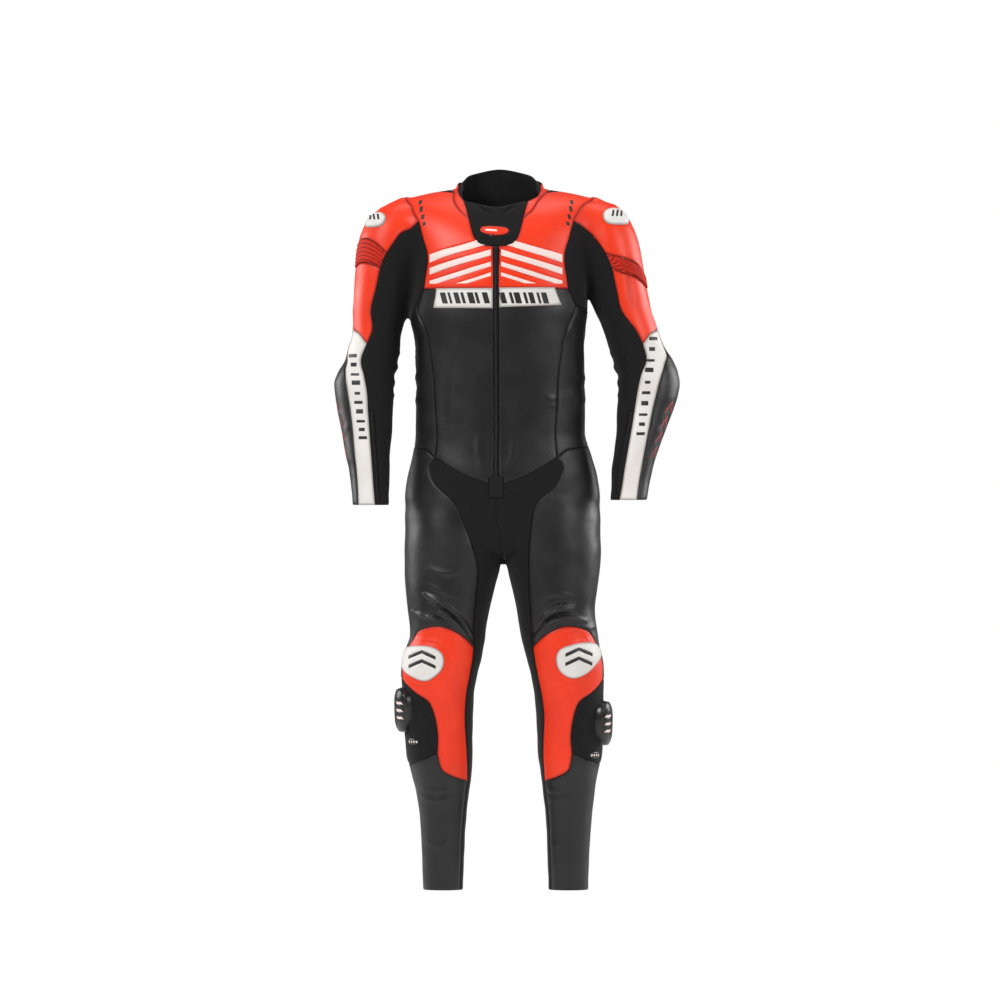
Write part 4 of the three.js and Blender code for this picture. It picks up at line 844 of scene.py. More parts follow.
# A surface on the form: border, rows near it, a staggered grid inside, and any outlines printed on it,
# joined to triangles. Its points are given with their distance to the border.
def surfaceOn(chart, border, grid, rows, prints=()):
    moved = border["p"] + border["inward"] * seamGap / 2
    flats, places = [border["flat"]], [moved]
    for distance in rows:
        flat, row, keep = rowInside(chart, border, distance)
        flats.append(flat[keep])
        places.append(chart[1](*(flat[keep] / [chart[2], 1]).T))
    low, high = border["flat"].min(axis=0), border["flat"].max(axis=0)
    across, up = grid
    xs, ys = np.arange(low[0], high[0], across), np.arange(low[1] + up / 2, high[1], up)
    field = np.stack(np.meshgrid(xs, ys), axis=2)
    field[1::2, :, 0] += across / 2
    field = field.reshape(-1, 2)
    field = field[insideOutline(field, border["flat"])]
    placed = chart[1](*(field / [chart[2], 1]).T)
    far = nearest(placed, border["p"])[0] > rows[-1] + 0.45 * min(grid)
    flats.append(field[far])
    places.append(placed[far])
    count = len(border["flat"])
    given, known = np.vstack(flats), np.vstack(places)
    links = [(i, (i + 1) % count) for i in range(count)]
    for ring in prints:
        start = len(given)
        given = np.vstack([given, ring])
        links += [(start + i, start + (i + 1) % len(ring)) for i in range(len(ring))]
    corners, _, faces, origin, _, _ = delaunay_2d_cdt([Vector(p) for p in given.tolist()], links, [], 1, 1e-4)
    flat = np.array([tuple(c) for c in corners])
    source = np.array([o[0] if o else -1 for o in origin])
    fresh = (source < 0) | (source >= len(known))
    points = known[np.where(fresh, 0, source)]
    if fresh.any():
        points[fresh] = chart[1](*(flat[fresh] / [chart[2], 1]).T)
    edge = nearest(points, border["p"])[0]
    edge[source < 0] = np.maximum(edge[source < 0], 0.2)
    onBorder = (source >= 0) & (source < count)
    edge[onBorder] = 0
    normals = normalAt(points)
    normals[onBorder] = border["n"][source[onBorder]]
    return {"flat": flat, "points": points, "normals": normals, "faces": np.array(faces), "edge": edge}


# The piece: its surface moved out by lift, with a wall behind it
def makePiece(name, surface, lift, finish, thickness, printed=()):
    points = (surface["points"] + surface["normals"] * lift[:, None]) / 1000
    mesh = bpy.data.meshes.new(name)
    mesh.from_pydata(points.tolist(), [], surface["faces"].tolist())
    mesh.polygons.foreach_set("use_smooth", np.ones(len(mesh.polygons), bool))
    pattern = mesh.uv_layers.new(name="pattern")
    index = np.zeros(len(mesh.loops), int)
    mesh.loops.foreach_get("vertex_index", index)
    pattern.data.foreach_set("uv", (surface["flat"][index] / 1000).ravel())
    # the nearer of the distances to a seam and to the painted shade in creases and rib grooves; the finishes darken
    # towards it
    edge = mesh.attributes.new("seamAndShadeDistance", "FLOAT", "POINT")
    edge.data.foreach_set("value", np.minimum(surface["edge"], 40).astype(np.float32))
    mesh.materials.append(finishes[finish])
    middles = surface["flat"][surface["faces"]].mean(axis=1)
    chosen = np.zeros(len(middles), int)
    for ring, ink in printed:
        if finishes[ink].name not in mesh.materials:
            mesh.materials.append(finishes[ink])
        chosen[insideOutline(middles, ring)] = mesh.materials.find(finishes[ink].name)
    mesh.polygons.foreach_set("material_index", chosen)
    mesh.update()
    piece = bpy.data.objects.new(name + "_" + slotOf[finish], mesh)
    bpy.context.scene.collection.objects.link(piece)
    wall = piece.modifiers.new("wall", "SOLIDIFY")
    wall.thickness = thickness / 1000
    wall.offset = -1
    return piece


def dress(piece, node, body="suit"):
    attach(piece, body)
    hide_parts(node)
    return piece


# Panels of each side: chart, finish, seams round the edge
panelRows = {
    "chest": ("body", "redLeather", "zipHigh throatEdge collarBase shoulder armOver armFront chestHemOut chestHem"),
    "front_body": (
        "body", "blackLeather", "zipBand zipLow zipStep zipSideHigh bellyFront princess armLow chestHemOut chestHem"
    ),
    "side_body": ("body", "blackLeather", "princess bellySide waistBack princessBack armUnderBack armUnder"),
    "seat": ("leg", "blackStretch", "waistBack waistCentre riseRear seatInner seatHem seatFront"),
    "thigh": ("leg", "blackLeather", "bellySide seatFront baseTop kneeOut kneeTop crotchLeg"),
    "inner_leg": (
        "leg",
        "blackStretch",
        "bellyFront crotchLeg kneeInner shinInner hemInner calfInner seatInner riseFront zipFootEdge zipSideLow",
    ),
    "knee": ("leg", "redLeather", "kneeTop kneeOut kneeLobe kneeFoot kneeInner"),
    "slider_base": ("leg", "blackStretch", "baseTop kneeLobe baseHem baseSide"),
    "shin": ("leg", "blackLeather", "baseHem kneeFoot shinInner hemFront calfOut"),
    "calf": ("leg", "blackLeather", "seatHem calfInner hemBack calfOut baseSide"),
    "collar": ("body", "redLeather", "collarInner collarTop collarSeam collarBaseBack collarBase"),
    "sleeve_cap": ("arm", "redLeather", "armOver armBehind capBack ribTop capFront"),
    "sleeve_rib": ("arm", "redStretch", "ribTop ribBack ribFoot ribFront"),
    "sleeve_upper": ("arm", "redLeather", "ribFoot sleeveBack redHemBack redHem sleeveFront"),
    "sleeve_stripe": ("arm", "whiteLeather", "redHem stripeOut cuffFront zipOut stripeIn"),
    "elbow": ("arm", "blackLeather", "redHemBack elbowBack cuffOuter stripeOut"),
    "wrist_zip": ("arm", "zipTape", "notch zipOut cuffZip zipIn"),
    "sleeve_inset": (
        "arm",
        "blackStretch",
        "armFront armLow armUnder armUnderBack armLowBack armBack capBack ribBack sleeveBack elbowBack cuffInner "
        "zipIn notch stripeIn sleeveFront ribFront capFront",
    ),
}
middleRows = {
    "throat": ("blackStretch", "collarInner throatEdge", "throatTopEdge", "zipHead"),
    "front_zip": ("zipTape", "zipHigh zipBand zipLow zipStep zipSideHigh zipSideLow zipFootEdge", "zipHead", None),
    "back_yoke": ("blackLeather", "collarBaseBack shoulder armBehind armBack", "collarBaseRear", "yokeFoot"),
    "back_body": ("blackLeather", "armLowBack princessBack waistCentre", "yokeFoot", None),
    "collar_back": ("blackLeather", "collarSeam", "collarTopRear", "collarBaseRear"),
}
slotOf = {
    "redLeather": "red_leather", "blackLeather": "black_leather", "whiteLeather": "white_leather",
    "blackStretch": "stretch", "redStretch": "red_stretch", "zipTape": "zip_tape",
    "mouldedPlastic": "hard_plastic",
}
panelLook = {
    "grid": (6.2, 5.4),
    "rows": (1.2, 2.6, 4.6),
    "thickness": 1.6,
    "rollDrop": 1.3,  # the edge turns down into the seam by this much
    "rollWidth": 2.2,
    "slack": {"leather": 0.5, "stretch": 0.8},
}
fineGrid = {
    "chest": (4.6, 4), "front": (4.6, 4), "shin": (4.6, 4), "thigh": (2.9, 2.4), "knee": (3, 2.6), "throat": (3, 2.6),
    "inner": (5.2, 4.6),
}
ribLook = {"grid": (1.8, 0.4), "count": 6, "height": 2.4, "pitch": 7.5}

# Knee cups: their outlines in front spots
cupSpots = {
    "right": [(178, -904), (150, -899), (124, -903), (107, -915), (103, -934), (112, -954), (138, -971), (166, -964), (187, -944), (191, -920)],
    "left": [(119, -928), (126, -908), (148, -898), (176, -893), (200, -897), (209, -915), (200, -938), (180, -957), (153, -966), (128, -953)],
}


# Creases: half width, height (a trough is below 0) and the points that they run through
creaseRows = {
    "right": [
        (5, 8.0, ("front", 146, -794), ("front", 104, -818), ("front", 70, -848), ("front", 46, -888)),
        (2.8, -9.0, ("front", 140, -808), ("front", 98, -830), ("front", 66, -858), ("front", 44, -896)),
        (3.8, 6.6, ("front", 118, -832), ("front", 84, -852), ("front", 56, -882)),
        (2.8, -8.0, ("front", 160, -828), ("front", 120, -842), ("front", 86, -862)),
        (3.4, 3.6, ("front", 172, -830), ("front", 142, -842), ("front", 112, -850)),
        (6, 1.4, ("front", 150, -772), ("front", 110, -790), ("front", 66, -808)),
        (4, 2.2, ("front", 118, -868), ("front", 86, -874), ("front", 56, -888)),
        (4, 2.0, ("front", 104, -876), ("front", 76, -886), ("front", 54, -902)),
        (8, 2.2, ("front", 60, -746), ("front", 96, -756), ("front", 140, -744)),
        (5, 2.0, ("front", 148, -312), ("front", 150, -360), ("front", 146, -400)),
        (10, -2.2, ("front", 86, -312), ("front", 98, -390), ("front", 104, -478)),
    ],
    "left": [
        (4.6, 7.0, ("front", 74, -890), ("front", 96, -862), ("front", 122, -849), ("front", 154, -845), ("front", 184, -852)),
        (2.8, -9.0, ("front", 78, -874), ("front", 102, -851), ("front", 130, -838), ("front", 166, -836)),
        (4.2, 6.4, ("front", 86, -852), ("front", 118, -830), ("front", 158, -826)),
        (2.8, -7.4, ("front", 96, -834), ("front", 126, -817), ("front", 162, -815)),
        (6, 1.4, ("front", 84, -806), ("front", 118, -796), ("front", 160, -804)),
        (5, 2.4, ("front", 92, -886), ("front", 126, -868), ("front", 164, -868), ("front", 194, -880)),
        (6, 2.0, ("front", 176, -868), ("front", 196, -862), ("body", 84, -858)),
        (5, 2.0, ("front", 100, -404), ("front", 118, -410), ("front", 132, -404)),
        (4, 1.6, ("front", 104, -418), ("front", 120, -424), ("front", 134, -420)),
        (9, -2.4, ("front", 262, -130), ("front", 266, -180), ("front", 270, -232)),
        (7, 2.6, ("front", 186, -112), ("front", 178, -150), ("front", 188, -192)),
    ],
    "both": [
        # above the boots
        (5, 2.6, ("front", 70, -1176), ("front", 110, -1190), ("front", 148, -1186)),
        (4, -1.8, ("front", 76, -1186), ("front", 112, -1199), ("front", 150, -1194)),
        (5, 2.2, ("front", 74, -1200), ("front", 116, -1210), ("front", 152, -1202)),
        (5, 1.8, ("body", 130, -1190), ("body", 170, -1198), ("body", 206, -1186)),
        (7, 1.5, ("body", 150, -1250), ("body", 190, -1262), ("body", 222, -1256)),
        (6, 1.4, ("front", 78, -1290), ("front", 116, -1300), ("front", 140, -1292)),
        # behind the knee
        (8, 4.5, ("body", 132, -962), ("body", 168, -974), ("body", 208, -968)),
        (7, -3.0, ("body", 136, -948), ("body", 170, -958), ("body", 206, -950)),
        (8, 4.0, ("body", 140, -934), ("body", 176, -942), ("body", 214, -930)),
        (7, 3.2, ("body", 138, -990), ("body", 172, -1000), ("body", 204, -992)),
        (7, -2.4, ("body", 142, -1004), ("body", 176, -1014), ("body", 202, -1006)),
        # fork and seat
        (8, 2.4, ("front", 20, -668), ("front", 44, -650), ("front", 70, -640)),
        (8, 2.0, ("front", 16, -690), ("front", 50, -700), ("body", -26, -716)),
        (9, 2.6, ("back", 18, -720), ("back", 60, -736), ("back", 104, -722)),
        (9, 2.2, ("back", 26, -758), ("back", 66, -774), ("back", 104, -766)),
        (10, 1.8, ("back", 20, -500), ("back", 62, -514), ("back", 104, -508)),
        # under the arm and round the waist
        (7, 2.4, ("front", 158, -232), ("front", 150, -262), ("front", 138, -286)),
        (7, 2.0, ("body", 78, -270), ("body", 84, -310), ("body", 80, -350)),
        (7, 2.2, ("body", 70, -352), ("body", 84, -366), ("body", 98, -362)),
        (7, -1.8, ("body", 68, -372), ("body", 84, -386), ("body", 100, -380)),
        (8, 1.9, ("body", 66, -398), ("body", 82, -412), ("body", 102, -404)),
        (9, 1.8, ("back", 30, -420), ("back", 76, -432), ("back", 108, -424)),
        (9, 1.8, ("back", 24, -452), ("back", 70, -462), ("back", 106, -456)),
        (8, 1.6, ("front", 26, -552), ("front", 34, -516), ("front", 36, -476)),
        # the bend of the elbow
        (7, 3.4, ("arm", -60, -352), ("arm", -100, -344), ("arm", -140, -352)),
        (6, -2.4, ("arm", -58, -366), ("arm", -100, -360), ("arm", -140, -366)),
        (7, 3.0, ("arm", -50, -382), ("arm", -92, -376), ("arm", -136, -384)),
        (6, 2.0, ("arm", -54, -404), ("arm", -96, -400), ("arm", -130, -408)),
        (6, 1.8, ("arm", -66, -322), ("arm", -104, -316), ("arm", -136, -322)),
        (7, 1.8, ("arm", 60, -222), ("arm", 74, -250), ("arm", 70, -276)),
        (6, 1.2, ("arm", 20, -446), ("arm", 44, -470), ("arm", 70, -478)),
        # from the armpit towards the shoulder
        (7, 2.6, ("front", 172, -206), ("front", 176, -176), ("front", 170, -140)),
        (6, -2.0, ("front", 184, -212), ("front", 188, -180), ("front", 184, -146)),
        (6, 2.2, ("front", 196, -222), ("front", 204, -194), ("front", 200, -162)),
        # the soft throat panel
        (3.6, 3.2, ("front", 46, -6), ("front", 28, -24), ("front", 5, -33)),
        (3, -3.0, ("front", 42, -16), ("front", 24, -33), ("front", 5, -42)),
        (3.4, 2.8, ("front", 40, -30), ("front", 26, -44), ("front", 34, -62)),
        (3.2, 2.4, ("front", 36, -76), ("front", 22, -88), ("front", 6, -90)),
        # placket beside the zip
        (3, 1.5, ("front", 9, -112), ("front", 9, -330), ("front", 9, -548)),
    ],
}
creaseRows["right"] += creaseRows["both"]
creaseRows["left"] += creaseRows["both"]
for side in sides:
    # two quilted lines round each knee cup
    middle = np.mean(cupSpots[side], axis=0)
    for reach, height in ((1.22, -1.5), (1.34, 1.0)):
        ring = middle + reach * (np.array([*cupSpots[side], *cupSpots[side][:2]]) - middle)
        creaseRows[side].append((2.6, height, *[("front", x, z) for x, z in ring if x < 196]))


# A crease is a rounded ridge with a shallow dip on both sides, and dies out towards its ends
creasePoints = {}
for side in sides:
    paths = [lineThrough(spots(side, row[2:]), 4) for row in creaseRows[side]]
    laid = []
    for (width, height, *_), path in zip(creaseRows[side], paths):
        fade = np.sin(np.pi * np.linspace(0, 1, len(path))) ** 0.6
        laid.append(np.column_stack([path, np.full(len(path), width), height * fade, np.full(len(path), len(laid))]))
    creasePoints[side] = laid


def creaseLift(points):
    lift = np.zeros(len(points))
    low, high = points.min(axis=0) - 20, points.max(axis=0) + 20
    for side in sides:
        for row in creasePoints[side]:
            if (row[:, :3] < low).any(axis=1).all() or (row[:, :3] > high).any(axis=1).all():
                continue
            gap, at = nearest(points, row[:, :3])
            u = gap / row[0, 3]
            lift += row[at, 4] * np.exp(-(u**2)) * (1 - 0.5 * u**2)
    return lift


# Place in the ribbed panel, counted in ribs from its top seam
def ribPlace(side, flat):
    edges = []
    for name in ("ribTop", "ribFoot"):
        line = flatOn(maps[side]["arm"], seams[side + "." + name][:, :3], flat[:, 0].mean() / 60)
        order = np.argsort(line[:, 0])
        edges.append(np.interp(flat[:, 0], line[order, 0], line[order, 1]))
    return ribLook["count"] * np.clip((flat[:, 1] - edges[0]) / (edges[1] - edges[0]), 0, 1)


def ribRise(side, flat):
    return ribLook["height"] * np.abs(np.sin(np.pi * ribPlace(side, flat))) ** 0.7


def ribGap(side, flat):
    place = ribPlace(side, flat)
    return np.abs(place - np.round(place)) * ribLook["pitch"]


# How far a panel stands out of the form: slack and creases, and its edge rolled down into the seam
def panelLift(points, edge, finish, creases):
    look = panelLook
    soft = look["slack"]["stretch" if "Stretch" in finish else "leather"]
    slackness = slack(points) * soft * smooth(edge, 2, 25)
    return slackness + creases * smooth(edge, 0, 6) - look["rollDrop"] * np.exp(-edge / look["rollWidth"])


panels = {}


def panel(name, side, chartName, finish, loop):
    chart = maps[side][chartName]
    border = borderOf(chart, closedPath(loop))
    ribbed = name.startswith("sleeve_rib")
    prints = [(flatOn(chart, spots(side, ring), border["near"]), ink) for ring, ink in printRows.get(name, [])]
    grid = ribLook["grid"] if ribbed else fineGrid.get(name.split("_")[0], panelLook["grid"])
    surface = surfaceOn(chart, border, grid, panelLook["rows"], [ring for ring, _ in prints])
    creases = creaseLift(surface["points"])
    lift = panelLift(surface["points"], surface["edge"], finish, creases)
    if ribbed:
        lift = lift + ribRise(side, surface["flat"]) * smooth(surface["edge"], 0, 2.5)
        # painted shade: the grooves between the ribs are drawn as dark as a seam
        surface["edge"] = np.minimum(surface["edge"], ribGap(side, surface["flat"]))
    # painted shade: the bottom of a crease is drawn as dark as a seam
    surface["edge"] = np.minimum(surface["edge"], np.maximum(5.5 + 1.2 * creases, 0.4))
    piece = makePiece(name, surface, lift, finish, panelLook["thickness"], prints)
    dress(piece, name)
    panels[name] = {"chart": chart, "border": border, "finish": finish, "surface": surface}


# Plain printed figures, as outlines through spots: slanted bars and chevrons
def bar(view, a, b, width, height, slant=0.0):
    low, high = b - height / 2, b + height / 2
    corners = [(a - width / 2, low), (a + width / 2, low), (a + width / 2 + slant, high), (a - width / 2 + slant, high)]
    return [(view, x, y) for x, y in corners]


def chevron(view, a, b, reach, rise, thick):
    corners = [(a - reach, b - rise), (a, b), (a + reach, b - rise)]
    corners += [(a + reach, b - rise - thick), (a, b - thick), (a - reach, b - rise - thick)]
    return [(view, x, y) for x, y in corners]


# Bars along a line: each as (place along it, from 0 to 1, length across, thickness)
def barRow(view, start, end, rows, slant):
    (ax, ay), (bx, by) = start, end
    return [bar(view, ax + (bx - ax) * t, ay + (by - ay) * t, long, thick, slant) for t, long, thick in rows]


stripeBars = [(0, 17, 7), (0.11, 12, 8), (0.23, 17, 5), (0.33, 17, 9), (0.46, 11, 6), (0.57, 17, 6), (0.68, 14, 9)]
stripeBars += [(0.8, 17, 5), (0.9, 12, 7), (1, 17, 6)]
stripeLine = {"right": ((286, -322), (265, -486)), "left": ((314, -288), (288, -478))}
chestRows = [
    [(10, -84), (10, -99), (132, -138), (132, -122)],
    [(10, -112), (10, -124), (132, -162), (132, -149)],
    [(10, -137), (10, -146), (118, -180), (132, -180), (132, -174)],
    [(10, -158), (10, -165), (58, -180), (80, -180)],
]
shoulderRows = [(152, -16, 6, 9), (150, -30, 6, 12), (147, -46, 6, 10), (144, -60, 6, 8)]
printRows = {}
for side in sides:
    printRows["chest_" + side] = [([("front", a, b) for a, b in row], "inkWhite") for row in chestRows]
    printRows["chest_" + side] += [(bar("front", a, b, w, h, -2), "inkBlack") for a, b, w, h in shoulderRows]
    bars = barRow("front", *stripeLine[side], stripeBars, 0)
    printRows["sleeve_stripe_" + side] = [(row, "inkBlack") for row in bars]
    printRows["elbow_" + side] = [(chevron("arm", 66, -412 - 30 * i, 13, 22, 4), "inkRed") for i in range(4)]
for side in sides:
    for name, (chartName, finish, loop) in panelRows.items():
        panel(name + "_" + side, side, chartName, finish, [side + "." + seam for seam in loop.split()])
for name, (finish, shared, head, foot) in middleRows.items():
    right = ["right." + seam for seam in shared.split()]
    left = ["left." + seam for seam in reversed(shared.split())]
    loop = [seam for seam in [*right, foot, *left, head] if seam]
    panel(name, "right", "body", finish, loop)


# Pieces that lie on a panel: an outline of points on the form, and how far they rise from their edge inwards
def closedCurve(chart, points, step):
    ring = []
    for i in range(len(points)):
        before, start, end, after = (points[(i + k) % len(points)] for k in (-1, 0, 1, 2))
        t = np.linspace(0, 1, max(2, round(np.linalg.norm(end - start) / step)), endpoint=False)[:, None]
        pull = (end - before) * (t - 2 * t**2 + t**3) + (after - start) * (t**3 - t**2)
        ring.append(start + (end - start) * (3 * t**2 - 2 * t**3) + pull / 2)
    ring = chart[1](*chart[0](np.vstack(ring)).T)
    return np.hstack([ring, normalAt(ring)])


def straightCurve(chart, points, step):
    ring = []
    for a, b in zip(points, np.roll(points, -1, axis=0)):
        count = max(1, round(np.linalg.norm(b - a) / step))
        ring.append(a + (b - a) * np.arange(count)[:, None] / count)
    ring = np.vstack(ring)
    ring = chart[1](*chart[0](ring).T)
    return np.hstack([ring, normalAt(ring)])


def laidPiece(name, side, chartName, finish, path, look, prints=()):
    chart = maps[side][chartName]
    border = borderOf(chart, path)
    rings = [(flatOn(chart, spots(side, ring), border["near"]), ink) for ring, ink in prints]
    surface = surfaceOn(chart, border, look["grid"], look["rows"], [ring for ring, _ in rings])
    edge = surface["edge"]
    away = 1 - edge / edge.max()
    lift = look["foot"] + (look["edge"] - look["foot"]) * smooth(edge, 0, look["shoulder"]) + look["crown"] * (1 - away**3)
    lift += creaseLift(surface["points"]) * look.get("folds", 0)
    for depth, at, width in look.get("grooves", ()):
        lift -= depth * np.exp(-(((edge - at) / width) ** 2))
    piece = makePiece(name, surface, lift, finish, look["thickness"], rings)
    dress(piece, name)
    panels[name] = {"chart": chart, "border": border, "finish": finish, "surface": surface, "lift": lift}


bandLook = {"grid": (5, 5), "rows": (0.8, 1.8), "foot": -0.6, "edge": 1.3, "shoulder": 1.4, "crown": 0, "thickness": 1.2, "folds": 1}
cupLook = {
    "grid": (5, 4.4), "rows": (0.7, 1.5, 2.6), "foot": -0.6, "edge": 1.6, "shoulder": 1.8, "crown": 2.2, "thickness": 1.4,
    "grooves": [(0.5, 4.5, 0.9)],
}
sliderLook = {
    "grid": (3.4, 3), "rows": (0.4, 0.9, 1.5, 2.2, 3.2, 4.4), "foot": -0.4, "edge": 10, "shoulder": 3.6, "crown": 9,
    "thickness": 3, "grooves": [(0.9, 6.5, 0.8), (0.5, 12, 0.7)],
}
tabLook = {"grid": (3.4, 3), "rows": (0.5, 1.1), "foot": -0.3, "edge": 1.8, "shoulder": 1.0, "crown": 0.4, "thickness": 1.2}
shoulderLook = {**cupLook, "crown": 3, "grid": (4, 2), "rows": (0.7, 1.5)}
badgeLook = {"grid": (2.6, 1.6), "rows": (0.4, 0.9), "foot": -0.3, "edge": 1.3, "shoulder": 0.9, "crown": 0.5, "thickness": 0.9}
bandCorners = {
    "right": [(6, -189), (119, -189), (125, -229), (6, -230)],
    "left": [(6, -188), (117, -187), (131, -223), (6, -228)],
}
bandStrokes = [(17, 11), (34, 6), (46, 12), (62, 6), (74, 10), (88, 5), (100, 11)]
sliderPlace = {"right": (77, -1029), "left": (77, -1056)}
tabPlace = {"right": (48, -1092), "left": (48, -1119)}
# each shoulder cup's middle in front spots, half width and half height
shoulderPlace = {"right": (244, -50, 29, 19), "left": (243, -43, 31, 21)}


def rounded(count):
    t = np.arange(count) * 2 * np.pi / count
    return (np.sign(v) * np.abs(v) ** 0.85 for v in (np.cos(t), np.sin(t)))


def ovalPoints(side, chartName, angle, height, across, up, count=26):
    chart = maps[side][chartName]
    x, y = rounded(count)
    return chart[1](np.radians(sides[side] * angle) + sides[side] * across * x / chart[2], height + up * y)


# Points of an oval seen square on from outside its middle, moved straight onto the form
def facingOval(middle, across, up, count=26):
    out = normalAt(middle[None])[0]
    level = np.cross([0, 0, 1], out)
    level /= np.linalg.norm(level)
    x, y = rounded(count)
    flat = middle + across * x[:, None] * level + up * y[:, None] * np.cross(out, level)
    return leave(flat - out * 60, np.tile(out, (count, 1)))


for side in sides:
    chart = maps[side]["body"]
    corners = [("front", *corner) for corner in bandCorners[side]]
    prints = [(bar("front", a, -209, w, 22, -6 * sides[side]), "inkBlack") for a, w in bandStrokes]
    row = straightCurve(chart, spots(side, corners), 4)
    laidPiece("chest_band_" + side, side, "body", "whiteLeather", row, bandLook, prints)
    legChart = maps[side]["leg"]
    cupRow = spots(side, [("front", a, b) for a, b in cupSpots[side]])
    middle = np.mean(cupSpots[side], axis=0)
    prints = [(chevron("front", middle[0], middle[1] + 22 - 18 * i, 26, 12, 7), "inkBlack") for i in range(2)]
    laidPiece("knee_cup_" + side, side, "leg", "whiteLeather", closedCurve(legChart, cupRow, 4), cupLook, prints)
    angle, height = sliderPlace[side]
    prints = [(bar("body", angle - 16, height + 16 - 15 * i, 13, 5, 4), "inkWhite") for i in range(3)]
    row = closedCurve(legChart, ovalPoints(side, "leg", angle, height, 42, 46), 4)
    laidPiece("knee_slider_" + side, side, "leg", "mouldedPlastic", row, sliderLook, prints)
    angle, height = tabPlace[side]
    prints = [(bar("body", angle - 10 + 6 * i, height, 3, 4, 1), "inkWhite") for i in range(4)]
    row = closedCurve(legChart, ovalPoints(side, "leg", angle, height, 20, 7), 2.5)
    laidPiece("slider_tab_" + side, side, "leg", "mouldedPlastic", row, tabLook, prints)
    a, b, across, up = shoulderPlace[side]
    middle = spots(side, [("front", a, b)])[0]
    prints = [(bar("front", a - 12 + 8 * i, b + 3, 4, up * 0.6, 2), "inkBlack") for i in range(3)]
    row = closedCurve(maps[side]["arm"], facingOval(middle, across, up), 4)
    laidPiece("shoulder_cup_" + side, side, "arm", "whiteLeather", row, shoulderLook, prints)
row = closedCurve(maps["right"]["body"], ovalPoints("right", "body", 6, -54, 34, 12), 3)
laidPiece("badge", "right", "body", "redLeather", row, badgeLook, [(bar("body", 6, -54, 13, 5), "inkWhite")])
print("stage: laid pieces made")


# Many copies of one small shape: each is turned to its own along, across and out, and moved to its place
def scatter(name, shape, faces, places, along, out, finish):
    along = along / np.linalg.norm(along, axis=1)[:, None]
    across = np.cross(out, along)
    across /= np.linalg.norm(across, axis=1)[:, None]
    up = np.cross(along, across)
    frames = np.stack([along, across, up], axis=1)
    points = (np.einsum("vk,nkj->nvj", shape, frames) + places[:, None]).reshape(-1, 3) / 1000
    shift = np.arange(len(places))[:, None, None] * len(shape)
    mesh = bpy.data.meshes.new(name)
    mesh.from_pydata(points.tolist(), [], (faces[None] + shift).reshape(-1, faces.shape[1]).tolist())
    mesh.polygons.foreach_set("use_smooth", np.ones(len(mesh.polygons), bool))
    mesh.materials.append(finishes[finish])
    mesh.update()
    piece = bpy.data.objects.new(name, mesh)
    bpy.context.scene.collection.objects.link(piece)
    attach(piece, "suit")
    return piece


# A stitch: a short thread with pointed ends, four-sided
stitchLook = {"length": 3.1, "width": 0.8, "height": 0.5, "inset": 3.2}
half, wide, rise = stitchLook["length"] / 2, stitchLook["width"] / 2, stitchLook["height"]
ring = np.array([(0, wide, 0), (0, 0, rise), (0, -wide, 0), (0, 0, -rise / 2)])
stitchShape = np.vstack([[(-half, 0, -0.15)], ring - [half * 0.6, 0, 0], ring + [half * 0.6, 0, 0], [(half, 0, -0.15)]])
around = [(i, (i + 1) % 4) for i in range(4)]
stitchFaces = np.array(
    [(0, 1 + b, 1 + a) for a, b in around]
    + [(1 + a, 1 + b, 5 + b) for a, b in around]
    + [(1 + a, 5 + b, 5 + a) for a, b in around]
    + [(9, 5 + a, 5 + b) for a, b in around]
)
threads = {"redLeather": "stitchRed", "blackLeather": "stitchBlack", "whiteLeather": "stitchWhite"}
rows = {}
for name, made in panels.items():
    finish, border, chart = made["finish"], made["border"], made["chart"]
    if finish not in threads or name == "badge":
        continue
    flat, row, keep = rowInside(chart, border, stitchLook["inset"])
    tangent = np.roll(row, -1, axis=0) - np.roll(row, 1, axis=0)
    laid = chart[1](*(flat[keep] / [chart[2], 1]).T)
    out = normalAt(laid)
    if "lift" in made:
        lift = made["lift"][nearest(laid, made["surface"]["points"])[1]]
    else:
        lift = panelLift(laid, np.full(len(laid), stitchLook["inset"]), finish, creaseLift(laid))
    rows.setdefault(finish, []).append((laid + out * (lift + 0.12)[:, None], tangent[keep], out))
for finish, parts in rows.items():
    places, along, out = (np.vstack(p) for p in zip(*parts))
    scatter("stitches_" + finish, stitchShape, stitchFaces, places, along, out, threads[finish])
    print("stage: stitches", finish, len(places))

# Zip teeth: small blocks, each side's between the other's
toothLook = {"pitch": 2.4, "length": 3.4, "width": 1.3, "height": 1.3, "reach": 1.0}
half, wide, rise = toothLook["length"] / 2, toothLook["width"] / 2, toothLook["height"]
toothShape = np.array([(x, y, z) for x in (-wide, wide) for y in (-half, half) for z in (-0.4, rise)])
toothFaces = np.array([(0, 1, 3, 2), (4, 6, 7, 5), (0, 4, 5, 1), (2, 3, 7, 6), (0, 2, 6, 4), (1, 5, 7, 3)])


def zipTeeth(name, side, path, chartName):
    chart = maps[side][chartName]
    line = lineThrough(spots(side, path), toothLook["pitch"] / 2)
    line = chart[1](*chart[0](line).T)
    out = normalAt(line)
    along = np.gradient(line, axis=0)
    across = np.cross(out, along)
    across /= np.linalg.norm(across, axis=1)[:, None]
    swing = np.where(np.arange(len(line)) % 2, 1, -1)[:, None] * toothLook["reach"]
    teeth = scatter(name, toothShape, toothFaces, line + across * swing + out * 0.2, along, out, "blackenedZinc")
    bevel = teeth.modifiers.new("rounded", "BEVEL")
    bevel.width = 0.0002
    bevel.segments = 1
    return teeth


frontTrack = [("front", 0, -122), ("front", 0, -340), ("front", 0, -560)]
teeth = {"front_zip": zipTeeth("front_teeth", "right", frontTrack, "body")}
for side in sides:
    track = [("arm", -21, -436), ("arm", -26, -530), ("arm", -30, cuff[side] + 4)]
    teeth["wrist_zip_" + side] = zipTeeth("wrist_teeth_" + side, side, track, "arm")


